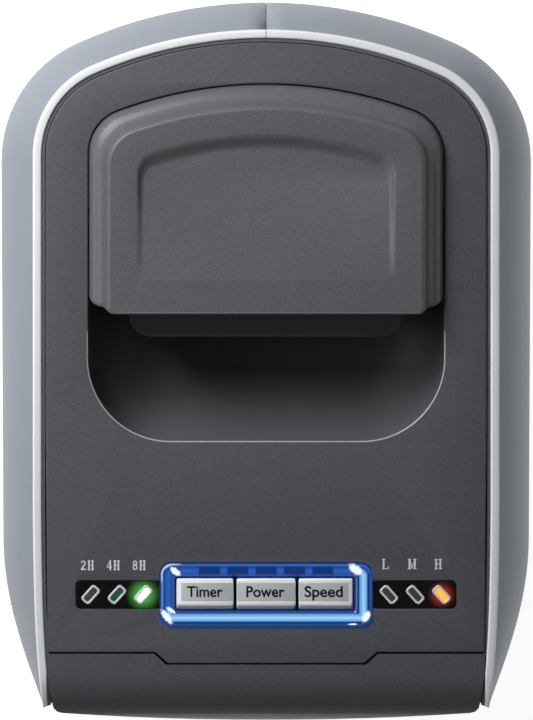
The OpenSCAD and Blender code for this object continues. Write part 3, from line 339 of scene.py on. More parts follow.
def lit_bezel():
    """Clear plastic lit in blue from below: bands along its border, lamp blocks behind the top side
    and painted highlights: bright glints in the corners and a pale line round the top-left corner."""
    width = 6.5 * MM
    mat, tree, shader = new_material("lit_bezel", (0.004, 0.012, 0.05), 0.05)
    distance = bezel_distance(tree)
    depth = calc(tree, "DIVIDE", calc(tree, "MULTIPLY", distance, -1.0), width)
    navy, deep, blue, sky, pale = ((0.0, 0.024, 0.14), (0.004, 0.045, 0.24), (0.02, 0.11, 0.45),
                                   (0.10, 0.30, 0.62), (0.34, 0.66, 0.93))
    lit_side = ramp(tree, depth, [(0.0, blue), (0.06, navy), (0.27, navy), (0.32, sky),
                                  (0.52, pale), (0.76, sky), (0.83, navy), (0.92, deep),
                                  (1.0, navy)])
    dim_side = ramp(tree, depth, [(0.0, navy), (0.08, deep), (0.15, blue), (0.24, deep),
                                  (0.5, blue), (0.78, deep), (0.86, navy), (1.0, navy)])
    here = add(tree, "ShaderNodeSeparateXYZ", {0: calc_vector(
        tree, "SUBTRACT", place(tree), BEZEL_AT).outputs[0]})
    x, y = here.outputs[0], here.outputs[1]
    right_side = calc(tree, "MULTIPLY", step(tree, x, 35, 37), step(tree, y, 11, 8))
    lit = calc(tree, "MAXIMUM", step(tree, y, -5, -8), right_side)
    banded = mix(tree, lit, dim_side, lit_side)
    wave = calc(tree, "PINGPONG", calc(tree, "ADD", x, 5.75 * MM), 5.75 * MM)
    blocks = calc(tree, "MULTIPLY", step(tree, wave, 1.2, 1.7), step(tree, y, 7, 7.6))
    within = calc(tree, "MULTIPLY", step(tree, y, 11.6, 11.2),
                  step(tree, calc(tree, "ABSOLUTE", x), 28, 27))
    body = mix(tree, calc(tree, "MULTIPLY", blocks, within), banded, navy)
    # Painted highlight: a pale line round the top-left corner.
    line = calc(tree, "ABSOLUTE", calc(tree, "ADD", distance, 0.6 * MM))
    painted_corner_highlight = calc(tree, "MULTIPLY", falloff(tree, line, 0.45 * MM, 1.0),
                       spot(tree, bezel_point(-40, 10.5), 6 * MM, 0.5))
    total = mix(tree, painted_corner_highlight, body, (0.75, 0.87, 1.0))
    # Painted glints in the corners.
    for x_at, y_at, length, width_at, angle in PAINTED_GLINTS:
        shape = patch(tree, bezel_point(x_at, y_at), length * MM, width_at * MM, angle)
        total = mix(tree, shape, total, (0.88, 0.96, 1.0))
    tree.links.new(total, shader.inputs["Emission Color"])
    shader.inputs["Emission Strength"].default_value = 1.0
    return mat


MATERIALS = {
    "shell": flake_paint("silver_shell", (0.26, 0.285, 0.325), 0.5, 0.25 * MM, 0.06,
                         Metallic=0.25, Specular_IOR_Level=0.15),
    "panel": panel_plastic(),
    "hood": flake_paint("hood_flake", (0.088, 0.09, 0.099), 0.4, 0.3 * MM, 0.22,
                        Specular_IOR_Level=0.35),
    "pocket": flake_paint("pocket_flake", (0.09, 0.093, 0.101), 0.5, 0.3 * MM, 0.12,
                          Specular_IOR_Level=0.3),
    "dark_plastic": moulded("satin_black", (0.018, 0.018, 0.02), 0.4),
    "rubber": moulded("rubber", (0.02, 0.02, 0.02), 0.8, grain=1.2 * MM),
    "gloss_black": strip_gloss(),
    "silver_plastic": flake_paint("silver_trim", (0.66, 0.68, 0.71), 0.3, 0.12 * MM, 0.06,
                                  Metallic=0.2),
    "window_dark": window("window_dark", (0.055, 0.056, 0.06)),
    "window_teal": window("window_teal", (0.015, 0.06, 0.05), (0.01, 0.08, 0.05), 0.3),
    "window_green": window("window_green", (0.4, 1.0, 0.6), (0.6, 1.0, 0.65), 1.5),
    "window_orange": window("window_orange", (1.0, 0.3, 0.05), (1.0, 0.3, 0.03), 1.2),
    "clear_blue": lit_bezel(),
    "black_part": moulded("matte_black", (0.015, 0.015, 0.015), 0.6),
    "board": moulded("solder_mask", (0.02, 0.12, 0.05), 0.35, grain=1.5 * MM),
    "lamp": moulded("lamp", (0.8, 0.8, 0.7), 0.2),
    "blue_lamp": window("blue_lamp", (0.05, 0.12, 0.9), (0.05, 0.2, 1.0), 3.0),
    "clear_guide": moulded("light_guide", (0.8, 0.88, 1.0), 0.15, Transmission_Weight=0.7),
    "steel": sheet_metal("zinc_steel", (0.52, 0.53, 0.54), 0.35),
    "grey_plastic": moulded("grey_moulding", (0.07, 0.075, 0.08), 0.5),
    "mesh": moulded("mesh", (0.012, 0.012, 0.012), 0.6),
    "filter_card": moulded("card", (0.66, 0.65, 0.6), 0.8, grain=0.3 * MM),
    "filter_paper": moulded("paper", (0.82, 0.82, 0.79), 0.9, grain=0.2 * MM, depth=0.03 * MM),
    "fan_plastic": moulded("fan_plastic", (0.035, 0.035, 0.04), 0.45),
    "iron": sheet_metal("laminations", (0.25, 0.24, 0.23), 0.5, stretch=(20, 20, 2500)),
    "winding": sheet_metal("winding", (0.5, 0.2, 0.07), 0.4, stretch=(3000, 30, 3000)),
    "zinc_sheet": sheet_metal("zinc_sheet", (0.5, 0.51, 0.53), 0.4),
    "bearing_brass": sheet_metal("bronze", (0.6, 0.42, 0.18), 0.4),
    "capacitor_sleeve": moulded("sleeve", (0.02, 0.04, 0.18), 0.3),
    "terminal_green": moulded("terminal", (0.03, 0.25, 0.08), 0.45),
    "lead_black": moulded("lead_black", (0.015, 0.015, 0.015), 0.5),
    "lead_grey": moulded("lead_grey", (0.35, 0.35, 0.36), 0.5),
    "magnet": sheet_metal("nickel", (0.6, 0.6, 0.6), 0.2),
}
BEAD_SILVER = flake_paint("bead_silver", (0.72, 0.73, 0.76), 0.4, 0.15 * MM, 0.04, Metallic=0.2)
KEY_SILVER = flake_paint("key_silver", (0.86, 0.87, 0.88), 0.3, 0.12 * MM, 0.03)
KEY_INLAY = flake_paint("key_inlay", (0.52, 0.525, 0.545), 0.35, 0.12 * MM, 0.06, Metallic=0.1)
# The pocket's edge is a lighter grey than the panel: a painted highlight.
EDGE_HIGHLIGHT = moulded("painted_edge_highlight", (0.32, 0.325, 0.34), 0.28, depth=0.002 * MM)
LEGEND_DARK = moulded("legend_dark", (0.006, 0.006, 0.007), 0.5, depth=0.004 * MM,
                      Specular_IOR_Level=0.1)
LEGEND_LIGHT = moulded("legend_light", (0.62, 0.64, 0.66), 0.45, depth=0.004 * MM)

# ---- CAD nodes: a finish, welded faces and softened edges -----------------------------------
EDGE = {"front_cover": 0.5, "rear_grille": 0.3, "base_plate": 0.4, "feet": 0.6,
        "indicator_lenses": 0.2, "lamp_frames": 0.25, "grip_lip": 1.0, "prefilter": 0.3,
        "side_shell_left": 0.0, "side_shell_right": 0.0}


def finish_node(obj, slot):
    """Gives a CAD node its material, and rounds its edges with modifiers on the welded mesh."""
    for place_in in obj.material_slots:
        place_in.link = "OBJECT"
        place_in.material = MATERIALS[slot]
    custom = obj.data.attributes.get("custom_normal")
    if custom:
        obj.data.attributes.remove(custom)
    obj.data.polygons.foreach_set("use_smooth", [True] * len(obj.data.polygons))
    weld = obj.modifiers.new("weld", "WELD")
    weld.merge_threshold = 0.002 * MM
    width = EDGE.get(obj.name, 0.2)
    if width:
        edge = obj.modifiers.new("edge", "BEVEL")
        edge.width = width * MM
        edge.segments = 2
        edge.limit_method = "ANGLE"
        edge.angle_limit = math.radians(32)
        edge.harden_normals = True
    obj.modifiers.new("shade", "WEIGHTED_NORMAL")


for part in frame["record"]["subparts"]:
    finish_node(nodes[part["node"]], part["material_slot"])
nodes["grip_lip"].material_slots[0].material = MATERIALS["pocket"]

# ---- Shape helpers ---------------------------------------------------------------------------


def piece(name, verts, faces, mat, body="housing", replaces=(), sharp=38):
    """A mesh piece from millimetre points, with its normals outward, that rides on a body."""
    mesh = bpy.data.meshes.new(name)
    mesh.from_pydata([tuple(Vector(v) * MM) for v in verts], [], faces)
    work = bmesh.new()
    work.from_mesh(mesh)
    bmesh.ops.remove_doubles(work, verts=work.verts, dist=0.0005 * MM)
    bmesh.ops.recalc_face_normals(work, faces=work.faces)
    work.to_mesh(mesh)
    work.free()
    mesh.materials.append(mat)
    mesh.polygons.foreach_set("use_smooth", [True] * len(mesh.polygons))
    mesh.set_sharp_from_angle(angle=math.radians(sharp))
    obj = bpy.data.objects.new(name, mesh)
    bpy.context.scene.collection.objects.link(obj)
    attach(obj, body)
    if replaces:
        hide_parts(*replaces)
    return obj


def cap(ring, base=0):
    """Triangles across a closed ring whose first vertex has the index base."""
    return [tuple(base + i for i in face) for face in tessellate_polygon([ring])]


def loft(rings, caps=True):
    """Vertices and faces through closed rings of equal length, closed at both ends."""
    n = len(rings[0])
    verts = [Vector(p) for ring in rings for p in ring]
    faces = [(j * n + i, j * n + (i + 1) % n, (j + 1) * n + (i + 1) % n, (j + 1) * n + i)
             for j in range(len(rings) - 1) for i in range(n)]
    if caps:
        last = (len(rings) - 1) * n
        faces += cap(verts[:n]) + cap(verts[last:], last)
    return verts, faces


def join(*parts):
    """Several (vertices, faces) as one."""
    verts, faces = [], []
    for more, their_faces in parts:
        faces += [tuple(i + len(verts) for i in face) for face in their_faces]
        verts += more
    return verts, faces


def arc(cx, cy, r, start, end, steps, first=0):
    """Points on an arc; angles in degrees turn from +Y toward +X."""
    turns = [math.radians(start + (end - start) * i / steps) for i in range(first, steps + 1)]
    return [Vector((cx + r * math.sin(a), cy + r * math.cos(a))) for a in turns]


def bezier(p, steps):
    out = []
    for i in range(1, steps + 1):
        t = i / steps
        s = 1 - t
        out.append(s ** 3 * p[0] + 3 * s * s * t * p[1] + 3 * s * t * t * p[2] + t ** 3 * p[3])
    return out


def smooth_line(points, steps):
    """A curve through points of any size (Catmull-Rom)."""
    out = []
    last = len(points) - 1
    for i in range(last):
        a, b, c, d = (Vector(points[max(0, min(last, k))]) for k in (i - 1, i, i + 1, i + 2))
        for k in range(steps):
            t = k / steps
            out.append(0.5 * (2 * b + (c - a) * t + (2 * a - 5 * b + 4 * c - d) * t ** 2
                              + (3 * b - a - 3 * c + d) * t ** 3))
    return out + [Vector(points[-1])]


def mirrored(half):
    """Closed outline of a right half and its mirror image."""
    return half + [Vector((-p.x, p.y)) for p in reversed(half) if p.x > 0.001]


ARCH_STEPS = 28
CORNER_STEPS = 20


def arch_half(hw, back, r1, r2):
    """Right half of an arch: back arc and corner arc."""
    turn = math.asin((hw - r2) / (r1 - r2))
    cy = back - r1 + (r1 - r2) * math.cos(turn)
    return (arc(0, back - r1, r1, 0, math.degrees(turn), ARCH_STEPS)
            + arc(hw - r2, cy, r2, math.degrees(turn), 90, CORNER_STEPS, 1))


def arch_outline(hw, back, front, r1, r2, rf, side_steps=8):
    """Closed outline with an arch at the back and rounded corners at the front."""
    half = arch_half(hw, back, r1, r2)
    start, end = half[-1], Vector((hw, front + rf))
    half += [start.lerp(end, i / side_steps) for i in range(1, side_steps)]
    return mirrored(half + arc(hw - rf, front + rf, rf, 90, 180, CORNER_STEPS))


def at_z(outline, z):
    return [Vector((p.x, p.y, z)) for p in outline]


def shifted(outline, d):
    """Outline moved outward by d (inward where d is below 0), for a clockwise outline."""
    out = []
    for i, p in enumerate(outline):
        a = (p - outline[i - 1]).normalized()
        b = (outline[(i + 1) % len(outline)] - p).normalized()
        n = Vector((-(a.y + b.y), a.x + b.x)).normalized()
        out.append(p + n * d / max(0.4, n.dot(Vector((-a.y, a.x)))))
    return out


def plate(outer, holes, z0, z1, r, steps=5):
    """A plate with rounded upper edges and holes, from clockwise outlines."""
    parts, tops = [], []
    for outline, way in [(outer, -1)] + [(hole, 1) for hole in holes]:
        turns = [math.pi / 2 * k / steps for k in range(steps + 1)]
        rings = [at_z(outline, z0)] + [at_z(shifted(outline, way * r * (1 - math.cos(a))),
                                            z1 - r + r * math.sin(a)) for a in turns]
        parts.append(loft(rings, caps=False))
        tops.append(rings[-1])
    flat = [p for ring in tops for p in ring]
    faces = [tuple(face) for face in tessellate_polygon(tops)]
    return join(*parts, (flat, faces))


def rounded_rect(x0, x1, y0, y1, r, steps=8):
    """Clockwise rounded rectangle."""
    r = min(r, (x1 - x0) / 2 - 0.01, (y1 - y0) / 2 - 0.01)
    return (arc(x1 - r, y1 - r, r, 0, 90, steps) + arc(x1 - r, y0 + r, r, 90, 180, steps)
            + arc(x0 + r, y0 + r, r, 180, 270, steps) + arc(x0 + r, y1 - r, r, 270, 360, steps))


# ---- Rim beads on the side shells ------------------------------------------------------------


def shell_line(hw, back, r1, r2, curve):
    arch = arch_half(hw, back, r1, r2)
    side = [arch[-1].lerp(curve[0], i / 6) for i in range(1, 7)]
    return arch + side + bezier(curve, 36)


def points(*pairs):
    return [Vector(p) for p in pairs]


WIDE_LINE = shell_line(HALF_W, BACK_Y, *WIDE_R, points(
    (HALF_W - 0.8, FRONT_Y + 74), (HALF_W - 0.8, FRONT_Y + 50),
    (SHELL_FRONT.x + 9.3, SHELL_FRONT.y + 23.3), SHELL_FRONT))
RIM_LINE = shell_line(RIM_HW, RIM_BACK, *RIM_R, points(
    (RIM_HW, FRONT_Y + 86), (RIM_HW - 0.3, FRONT_Y + 51),
    (RIM_HW - 0.9, FRONT_Y + 26), SHELL_FRONT))


def line_normal(line, i):
    if i == 0:
        return Vector((0, 1))
    d = (line[min(i + 1, len(line) - 1)] - line[i - 1]).normalized()
    return Vector((-d.y, d.x))


def rim_z(y):
    if y > ROLL_Y:
        return TOP_Z
    return TOP_Z - ROLL_R + math.sqrt(max(ROLL_R ** 2 - (ROLL_Y - y) ** 2, 0))


def station(i, profile):
    """A section across the rim at a station, from offsets inward and heights."""
    rim, n, z = RIM_LINE[i], line_normal(WIDE_LINE, i), rim_z(RIM_LINE[i].y)
    return [Vector((max(rim.x - n.x * o, 0.12), rim.y - n.y * o, z + h)) for o, h in profile]


def bead_width(i):
    front = (RIM_LINE[i].y - ROLL_Y) / (SHELL_FRONT.y - ROLL_Y)
    return BEAD_W + (BEAD_FRONT_W - BEAD_W) * max(0, min(1, front))


def bead_section(i):
    """Section of the bead, rounded at both edges."""
    width = bead_width(i)
    r = BEAD_ROUND
    outer = [(-0.12 + r * (1 - math.sin(a)), 0.08 - r * (1 - math.cos(a)))
             for a in (math.radians(90 - 15 * k) for k in range(7))]
    inner = [(width - 0.04 - o, h) for o, h in reversed(outer)]
    foot = [(width + 0.08, -4.5), (width - 0.6, -4.5)]
    return station(i, [(0.5, -2.4), (-0.12, -1.6)] + outer + inner + foot)


def seal_section(i):
    """Section of the dark seal in the gap between the bead and the panel."""
    width = bead_width(i)
    wide, top, foot = SEAL
    return station(i, [(width - 0.3, -top), (width + wide, -top), (width + wide, -foot),
                       (width - 0.3, -foot)])


def make_rim():
    for kind, section, mat, slot in (("bead", bead_section, BEAD_SILVER, "silver_plastic"),
                                     ("seal", seal_section, MATERIALS["hood"], "hood")):
        verts, faces = loft([section(i) for i in range(len(RIM_LINE))])
        piece(f"rim_{kind}_right", verts, faces, mat)
        piece(f"rim_{kind}_left", [Vector((-v.x, v.y, v.z)) for v in verts], faces, mat)


# ---- Top panel -------------------------------------------------------------------------------
HOOD_BASE = (HOOD[1].x, HOOD[1].y - 0.6)   # half width and back of the hood's foot
HOOD_R = (172.0, 18.0)                 # back and corner radius of the hood's foot
HOOD_FRONT = HOOD[0].y - 0.4           # front edge of the hood's face
HOOD_FRONT_R = 2.2
HOOD_GAP = 0.5
POCKET_FRONT = HOOD_FRONT - 51.0
POCKET_R = 33.5
STRIP_R = 1.8


def panel_outline():
    gap = PANEL_GAP
    hw, part = RIM_HW - gap, PART_Y
    root, depth, slope = TONGUE
    half = arch_half(hw, RIM_BACK - gap, RIM_R[0] - gap, RIM_R[1] - gap)
    half += points((hw, FRONT_Y + 120), (hw - 0.8, part + 1), (hw - 1.4, part),
                   (root + 0.4, part), (root, part - 0.1), (root - slope, part - depth),
                   (root - slope - 0.5, part - depth - 0.1))
    return mirrored(half)


def key_hole_outline():
    """Clockwise outline of the opening for the bezel and the strip on both its sides."""
    bx, by = BEZEL[1].x + FIT, (BEZEL[1].y - BEZEL[0].y) / 2 + FIT
    sx, sy = STRIP[1].x + FIT, (STRIP[1].y - STRIP[0].y) / 2 + FIT
    r, s = BEZEL_R, STRIP_R
    half = (points((0, KEY_Y + by)) + arc(bx - r, KEY_Y + by - r, r, 0, 90, 8)
            + points((bx, KEY_Y + sy)) + arc(sx - s, KEY_Y + sy - s, s, 0, 90, 6)
            + arc(sx - s, KEY_Y - sy + s, s, 90, 180, 6) + points((bx, KEY_Y - sy))
            + arc(bx - r, KEY_Y - by + r, r, 90, 180, 8) + points((0, KEY_Y - by)))
    return mirrored(half)


def make_panel():
    opening = grip_opening()
    verts, faces = plate(panel_outline(), [opening, key_hole_outline()], PANEL_Z, TOP_Z, EDGE_R)
    piece("panel_face", verts, faces, MATERIALS["panel"], replaces=("top_panel",))


def grip_opening():
    return arch_outline(HOOD_BASE[0] + HOOD_GAP, HOOD_BASE[1] + HOOD_GAP, POCKET_FRONT,
                        HOOD_R[0] + HOOD_GAP, HOOD_R[1] + HOOD_GAP, POCKET_R)


def make_pocket_edge():
    """The edge of the panel round the pocket in a lighter grey, a painted highlight; it dives under
    beside the hood.
    """
    opening, proud = grip_opening(), 0.03
    rings = [at_z(opening, TOP_Z - 1.2)]
    for k in range(6):
        a = math.pi / 2 * k / 5
        rings.append(at_z(shifted(opening, EDGE_R * (1 - math.cos(a)) - proud),
                          TOP_Z - EDGE_R * (1 - math.sin(a)) + proud))
    rings.append(at_z(shifted(opening, EDGE_R + 0.4), TOP_Z - 1.2))
    rings = [[p - Vector((0, 0, max(0, min(1, (p.y - HOOD_FRONT + 2) / 4)))) for p in ring]
             for ring in rings]
    verts, faces = loft(rings + [rings[0]], caps=False)
    piece("pocket_edge", verts, faces, EDGE_HIGHLIGHT)


# ---- Carry grip: hood and finger pocket ------------------------------------------------------
HOOD_H = HOOD[1].z - TOP_Z
SKIRT_Z = HOOD[0].z
UNDERCUT = 6.0
# Inset and height of the slope round the hood: a rounded foot, a cove and a rounded crest
HOOD_SLOPE = [(0, 0.4), (0.7, 3.0), (2.4, 4.9), (4.8, 6.1), (6.5, 8.1), (7.9, 10.6), (9.1, 11.9),
              (10.8, HOOD_H)]
SIDE_SHARE = 0.90                      # the slope is narrower at the sides than at the back
BACK_SHARE = 1.10
FRONT_ROUND = 0.8                      # rounding of the face's front edge
DISH_HW = 52.6
DISH_BACK = HOOD_BASE[1] - 19.8
DISH_FRONT = HOOD_FRONT + 14
DISH_DEPTH = 4.4
DISH_R = (150.0, 9.0, 4.0)             # radii of its back, back corners and front corners
DISH_WALL = (2.8, 6.4, 1.0)            # width of the dish's wall at the sides, back and front


def hood_ring(w, h, back_by=0.0):
    over = max(0, h - (HOOD_H - FRONT_ROUND))
    edge = FRONT_ROUND - math.sqrt(max(FRONT_ROUND ** 2 - over ** 2, 0))
    front = HOOD_FRONT + UNDERCUT * (1 - h / HOOD_H) + edge + back_by
    return at_z(arch_outline(HOOD_BASE[0] - w * SIDE_SHARE, HOOD_BASE[1] - w * BACK_SHARE, front,
                             HOOD_R[0] - w, HOOD_R[1] - 0.4 * w, HOOD_FRONT_R), TOP_Z + h)


def dish_ring(t):
    """Ring of the dish's wall, from its edge at t = 0 to its floor at t = 1."""
    side, back, front = DISH_WALL
    outline = arch_outline(DISH_HW - side * t, DISH_BACK - back * t, DISH_FRONT + front * t,
                           DISH_R[0] - back * t, DISH_R[1] - 2.5 * t, DISH_R[2])
    share = t * t * (3 - 2 * t)
    length = DISH_BACK - DISH_FRONT
    return [Vector((p.x, p.y, HOOD[1].z - share * DISH_DEPTH * max(0, (p.y - DISH_FRONT) / length)))
            for p in outline]


def make_hood():
    slope = smooth_line(HOOD_SLOPE, 5)
    rings = [at_z(arch_outline(HOOD_BASE[0], HOOD_BASE[1], HOOD_FRONT + UNDERCUT, *HOOD_R,
                               HOOD_FRONT_R), SKIRT_Z)]
    rings += [hood_ring(w, h) for w, h in slope] + [hood_ring(HOOD_SLOPE[-1][0] + 0.4, HOOD_H, 0.4)]
    rings += [dish_ring(k / 12) for k in range(13)]
    verts, faces = loft(rings)
    piece("hood_face", verts, faces, MATERIALS["hood"], replaces=("grip_hood",), sharp=50)


BOWL_Z = TOP_Z - 43                    # floor of the pocket
BOWL_IN = 34.0                         # how far its wall draws in toward the floor
BOWL_BACK = HOOD_FRONT + 33
WALL_H = 9.0
BOWL_T = 2.0
BOWL_R = (300.0, 22.0, POCKET_R + 0.3) # radii of its back, back corners and front corners
LOW_RIM = span("grip_lip")[0].z - 0.8  # rim of the pocket behind the hood's front


def bowl_ring(d, z):
    hw, front = HOOD_BASE[0] + 0.8, POCKET_FRONT - 0.3
    rim = arch_outline(hw, BOWL_BACK, front, *BOWL_R)
    here = arch_outline(hw - d, BOWL_BACK - d, front + d, BOWL_R[0] - d, max(BOWL_R[1] - d, 2),
                        max(BOWL_R[2] - d, 2))
    out = []
    for r, p in zip(rim, here):
        behind = max(0, min(1, (r.y - HOOD_FRONT - 2) / 6))
        drop = max(0, z - BOWL_Z) * (PANEL_Z - LOW_RIM) / (PANEL_Z - BOWL_Z)
        out.append(Vector((p.x, p.y, z - behind * drop)))
    return out


def bowl_side(out, steps=22, turn=math.radians(86)):
    """Inset and height down the bowl's wall; out is the distance outside its inner face."""
    depth = PANEL_Z - WALL_H - BOWL_Z
    return [(BOWL_IN * (1 - math.cos(a)) - out * math.cos(a),
             PANEL_Z - WALL_H - depth * math.sin(a) / math.sin(turn) - out * math.sin(a))
            for a in (turn * k / steps for k in range(steps + 1))]


def make_pocket():
    top, under = PANEL_Z - 0.02, PANEL_Z - BOWL_T
    flange = [(0, top), (-5, top), (-5, under), (-BOWL_T, under)]
    line = list(reversed(bowl_side(0))) + flange + bowl_side(BOWL_T)
    verts, faces = loft([bowl_ring(d, z) for d, z in line])
    piece("pocket_bowl", verts, faces, MATERIALS["pocket"], replaces=("grip_pocket",),
          sharp=50)


# ---- Bezel and keys --------------------------------------------------------------------------
KEY_TOP = span("power_key")[1].z
KEY_D = 12.5
OPENING = (-0.6, 0.45)                 # the keys' middle from the bezel's middle
ROW_ENDS = (0.5, 0.6)                  # how far both ends of the row lie left of the CAD's
KEYS = {"timer": ("Timer", 14.4), "power": ("Power", 15.5), "speed": ("Speed", 15.5)}


def make_bezel():
    """A clear ring with a rounded outer shoulder and a low inner step round the keys."""
    x, y = BEZEL[1].x, (BEZEL[1].y - BEZEL[0].y) / 2
    top, base = BEZEL[1].z, BEZEL[0].z
    profile = [(0, base), (0, top - 1.6), (0.25, top - 0.9), (0.8, top - 0.3), (1.6, top),
               (4.4, top), (5.2, top - 0.25), (5.7, top - 0.8), (6.0, top - 1.6), (6.1, base),
               (5.2, base)]
    outline = rounded_rect(-x, x, KEY_Y - y, KEY_Y + y, BEZEL_R)
    line = smooth_line(profile[1:9], 4)
    line = [Vector(profile[0])] + line + [Vector(p) for p in profile[9:]]
    rings = [at_z(shifted(outline, -min(d, 4.3)) if d < 4.4 else rounded_rect(
        OPENING[0] - x + d + 0.5, OPENING[0] + x - d - 0.5, KEY_Y + OPENING[1] - y + d,
        KEY_Y + OPENING[1] + y - d, 1.2), z) for d, z in line]
    verts, faces = loft(rings + [rings[0]], caps=False)
    piece("bezel_glass", verts, faces, MATERIALS["clear_blue"],
          replaces=("key_bezel",), sharp=60)


def make_key(name, legend, legend_w, outer):
    """A key: bright rim, sloped front, grey inlay and dark legend. outer is the side that ends
    the row: -1, 0 or 1."""
    low, high = span(name + "_key")
    x0, x1 = low.x + min(outer, 0) * ROW_ENDS[0], high.x - max(outer, 0) * ROW_ENDS[1]
    y0, y1 = KEY_Y + OPENING[1] - KEY_D / 2, KEY_Y + OPENING[1] + KEY_D / 2
    left, right = (0.5 if outer < 0 else 0.15), (0.5 if outer > 0 else 0.15)
    steps = [(0.0, low.z, 0.0), (0.0, KEY_TOP - 1.5, 0.0), (0.35, KEY_TOP - 0.5, 1.0),
             (0.8, KEY_TOP - 0.12, 1.5), (1.2, KEY_TOP, 1.9)]
    rings = [at_z(rounded_rect(x0 + left * s, x1 - right * s, y0 + front, y1 - 0.5 * s, 0.9), z)
             for s, z, front in steps]
    verts, faces = loft(rings)
    piece(name + "_cap", verts, faces, KEY_SILVER, body=name,
          replaces=(name + "_key",))
    ix0, ix1 = x0 + (2.0 if outer < 0 else 0.2), x1 - (1.9 if outer > 0 else 0.2)
    iy0, iy1 = y0 + 3.2, y1 - 1.9
    verts, faces = plate(rounded_rect(ix0, ix1, iy0, iy1, 0.3), [], KEY_TOP - 0.3,
                         KEY_TOP + 0.06, 0.04, steps=2)
    piece(name + "_inlay", verts, faces, KEY_INLAY, body=name)
    at = ((ix0 + ix1) / 2 - 0.5 * (1 - outer), (iy0 + iy1) / 2 - 0.1, KEY_TOP + 0.07)
    text(name + "_legend", legend, at, 4.5, legend_w, name)


def text(name, words, at, height, width, body):
    """A raised legend in the plain font, scaled to its cap height and width."""
    curve = bpy.data.curves.new(name, "FONT")
    curve.body = words
    curve.align_x = "CENTER"
    curve.align_y = "CENTER"
    curve.extrude = 0.01
    curve.offset = 0.018
    source = bpy.data.objects.new(name, curve)
    bpy.context.scene.collection.objects.link(source)
    bpy.context.view_layer.update()
    depsgraph = bpy.context.evaluated_depsgraph_get()
    mesh = bpy.data.meshes.new_from_object(source.evaluated_get(depsgraph))
    tall, wide = height / 0.73, width / source.dimensions.x
    verts = [(at[0] + v.co.x * wide, at[1] + v.co.y * tall, at[2] + v.co.z * tall)
             for v in mesh.vertices]
    faces = [tuple(face.vertices) for face in mesh.polygons]
    bpy.data.objects.remove(source)
    piece(name, verts, faces, LEGEND_DARK, body=body)


# ---- Small legends over the lamps --------------------------------------------------------------
# Strokes of each sign in a cell of height 1: (x0, y0, x1, y1, width)
STEM, THIN = 0.17, 0.085


def serif(x, y):
    return [(x - 0.14, y, x + 0.14, y, THIN)]


def ellipse(cx, cy, rx, ry, start=0, end=360, steps=16, width=0.13):
    at = [math.radians(start + (end - start) * k / steps) for k in range(steps + 1)]
    line = [(cx + rx * math.cos(a), cy + ry * math.sin(a)) for a in at]
    return [(*p, *q, width) for p, q in zip(line, line[1:])]


def bar_sign(stems):
    """Upright stems with serifs at both ends."""
    strokes = []
    for x in stems:
        strokes += [(x, 0, x, 1, STEM)] + serif(x, 0.04) + serif(x, 0.96)
    return strokes


SIGNS = {
    "H": bar_sign((0.13, 0.53)) + [(0.13, 0.5, 0.53, 0.5, THIN)],
    "L": [(0.15, 0, 0.15, 1, STEM)] + serif(0.17, 0.96) + [(0.05, 0.04, 0.6, 0.04, THIN),
                                                          (0.59, 0.0, 0.62, 0.26, THIN)],
    "M": bar_sign((0.1, 0.62)) + [(0.1, 0.96, 0.36, 0.1, 0.13), (0.36, 0.1, 0.6, 0.96, THIN)],
    "2": ellipse(0.3, 0.72, 0.2, 0.22, 170, -35) + [(0.45, 0.6, 0.12, 0.1, 0.14),
                                                    (0.06, 0.07, 0.56, 0.07, 0.14)],
    "4": [(0.42, 0, 0.42, 1, STEM), (0.42, 0.98, 0.06, 0.33, THIN), (0.04, 0.31, 0.6, 0.31, 0.1)],
    "8": ellipse(0.3, 0.74, 0.18, 0.2) + ellipse(0.3, 0.28, 0.22, 0.22),
}


def write_small(name, words, x, y, height, width, gap=0.5):
    """A printed sign of thin raised strokes on the panel; x is its left end, y its middle and
    width the width of one sign."""
    squeeze = width / 0.66
    parts = []
    for index, word in enumerate(words):
        left = x + index * (width + gap)
        for layer, (x0, y0, x1, y1, thick) in enumerate(SIGNS[word]):
            a = Vector((left + x0 * squeeze, y + (y0 - 0.5) * height))
            b = Vector((left + x1 * squeeze, y + (y1 - 0.5) * height))
            along = (b - a).normalized()
            side = Vector((-along.y, along.x)) * thick * height / 2
            over = along * thick * height * 0.2
            ring = [a + side - over, b + side + over, b - side + over, a - side - over]
            parts.append(loft([at_z(ring, TOP_Z - 0.02), at_z(ring, TOP_Z + 0.03 + 0.002 * layer)]))
    verts, faces = join(*parts)
    piece(name, verts, faces, LEGEND_LIGHT)


# Rows of signs: their names' start, signs, left end, step, middle above the keys, height and width
SIGN_ROWS = [("legend_", ("2H", "4H", "8H"), -75.2, 10.5, 11.9, 3.8, 2.4),
             ("legend_speed_", ("L", "M", "H"), 47.0, 10.7, 12.4, 4.0, 2.8)]


def make_legends():
    for start, signs, left, step_x, over, height, width in SIGN_ROWS:
        for index, words in enumerate(signs):
            write_small(start + words, words, left + step_x * index, KEY_Y + over, height, width)


make_rim()
make_panel()
make_pocket_edge()
make_hood()
make_pocket()
make_bezel()
for outer_side, (key_name, key_legend) in zip((-1, 0, 1), KEYS.items()):
    make_key(key_name, *key_legend, outer_side)
make_legends()

# ---- Floor, light and camera ----------------------------------------------------------------


def largest(tree, values):
    total = values[0]
    for value in values[1:]:
        total = calc(tree, "MAXIMUM", total, value)
    return total


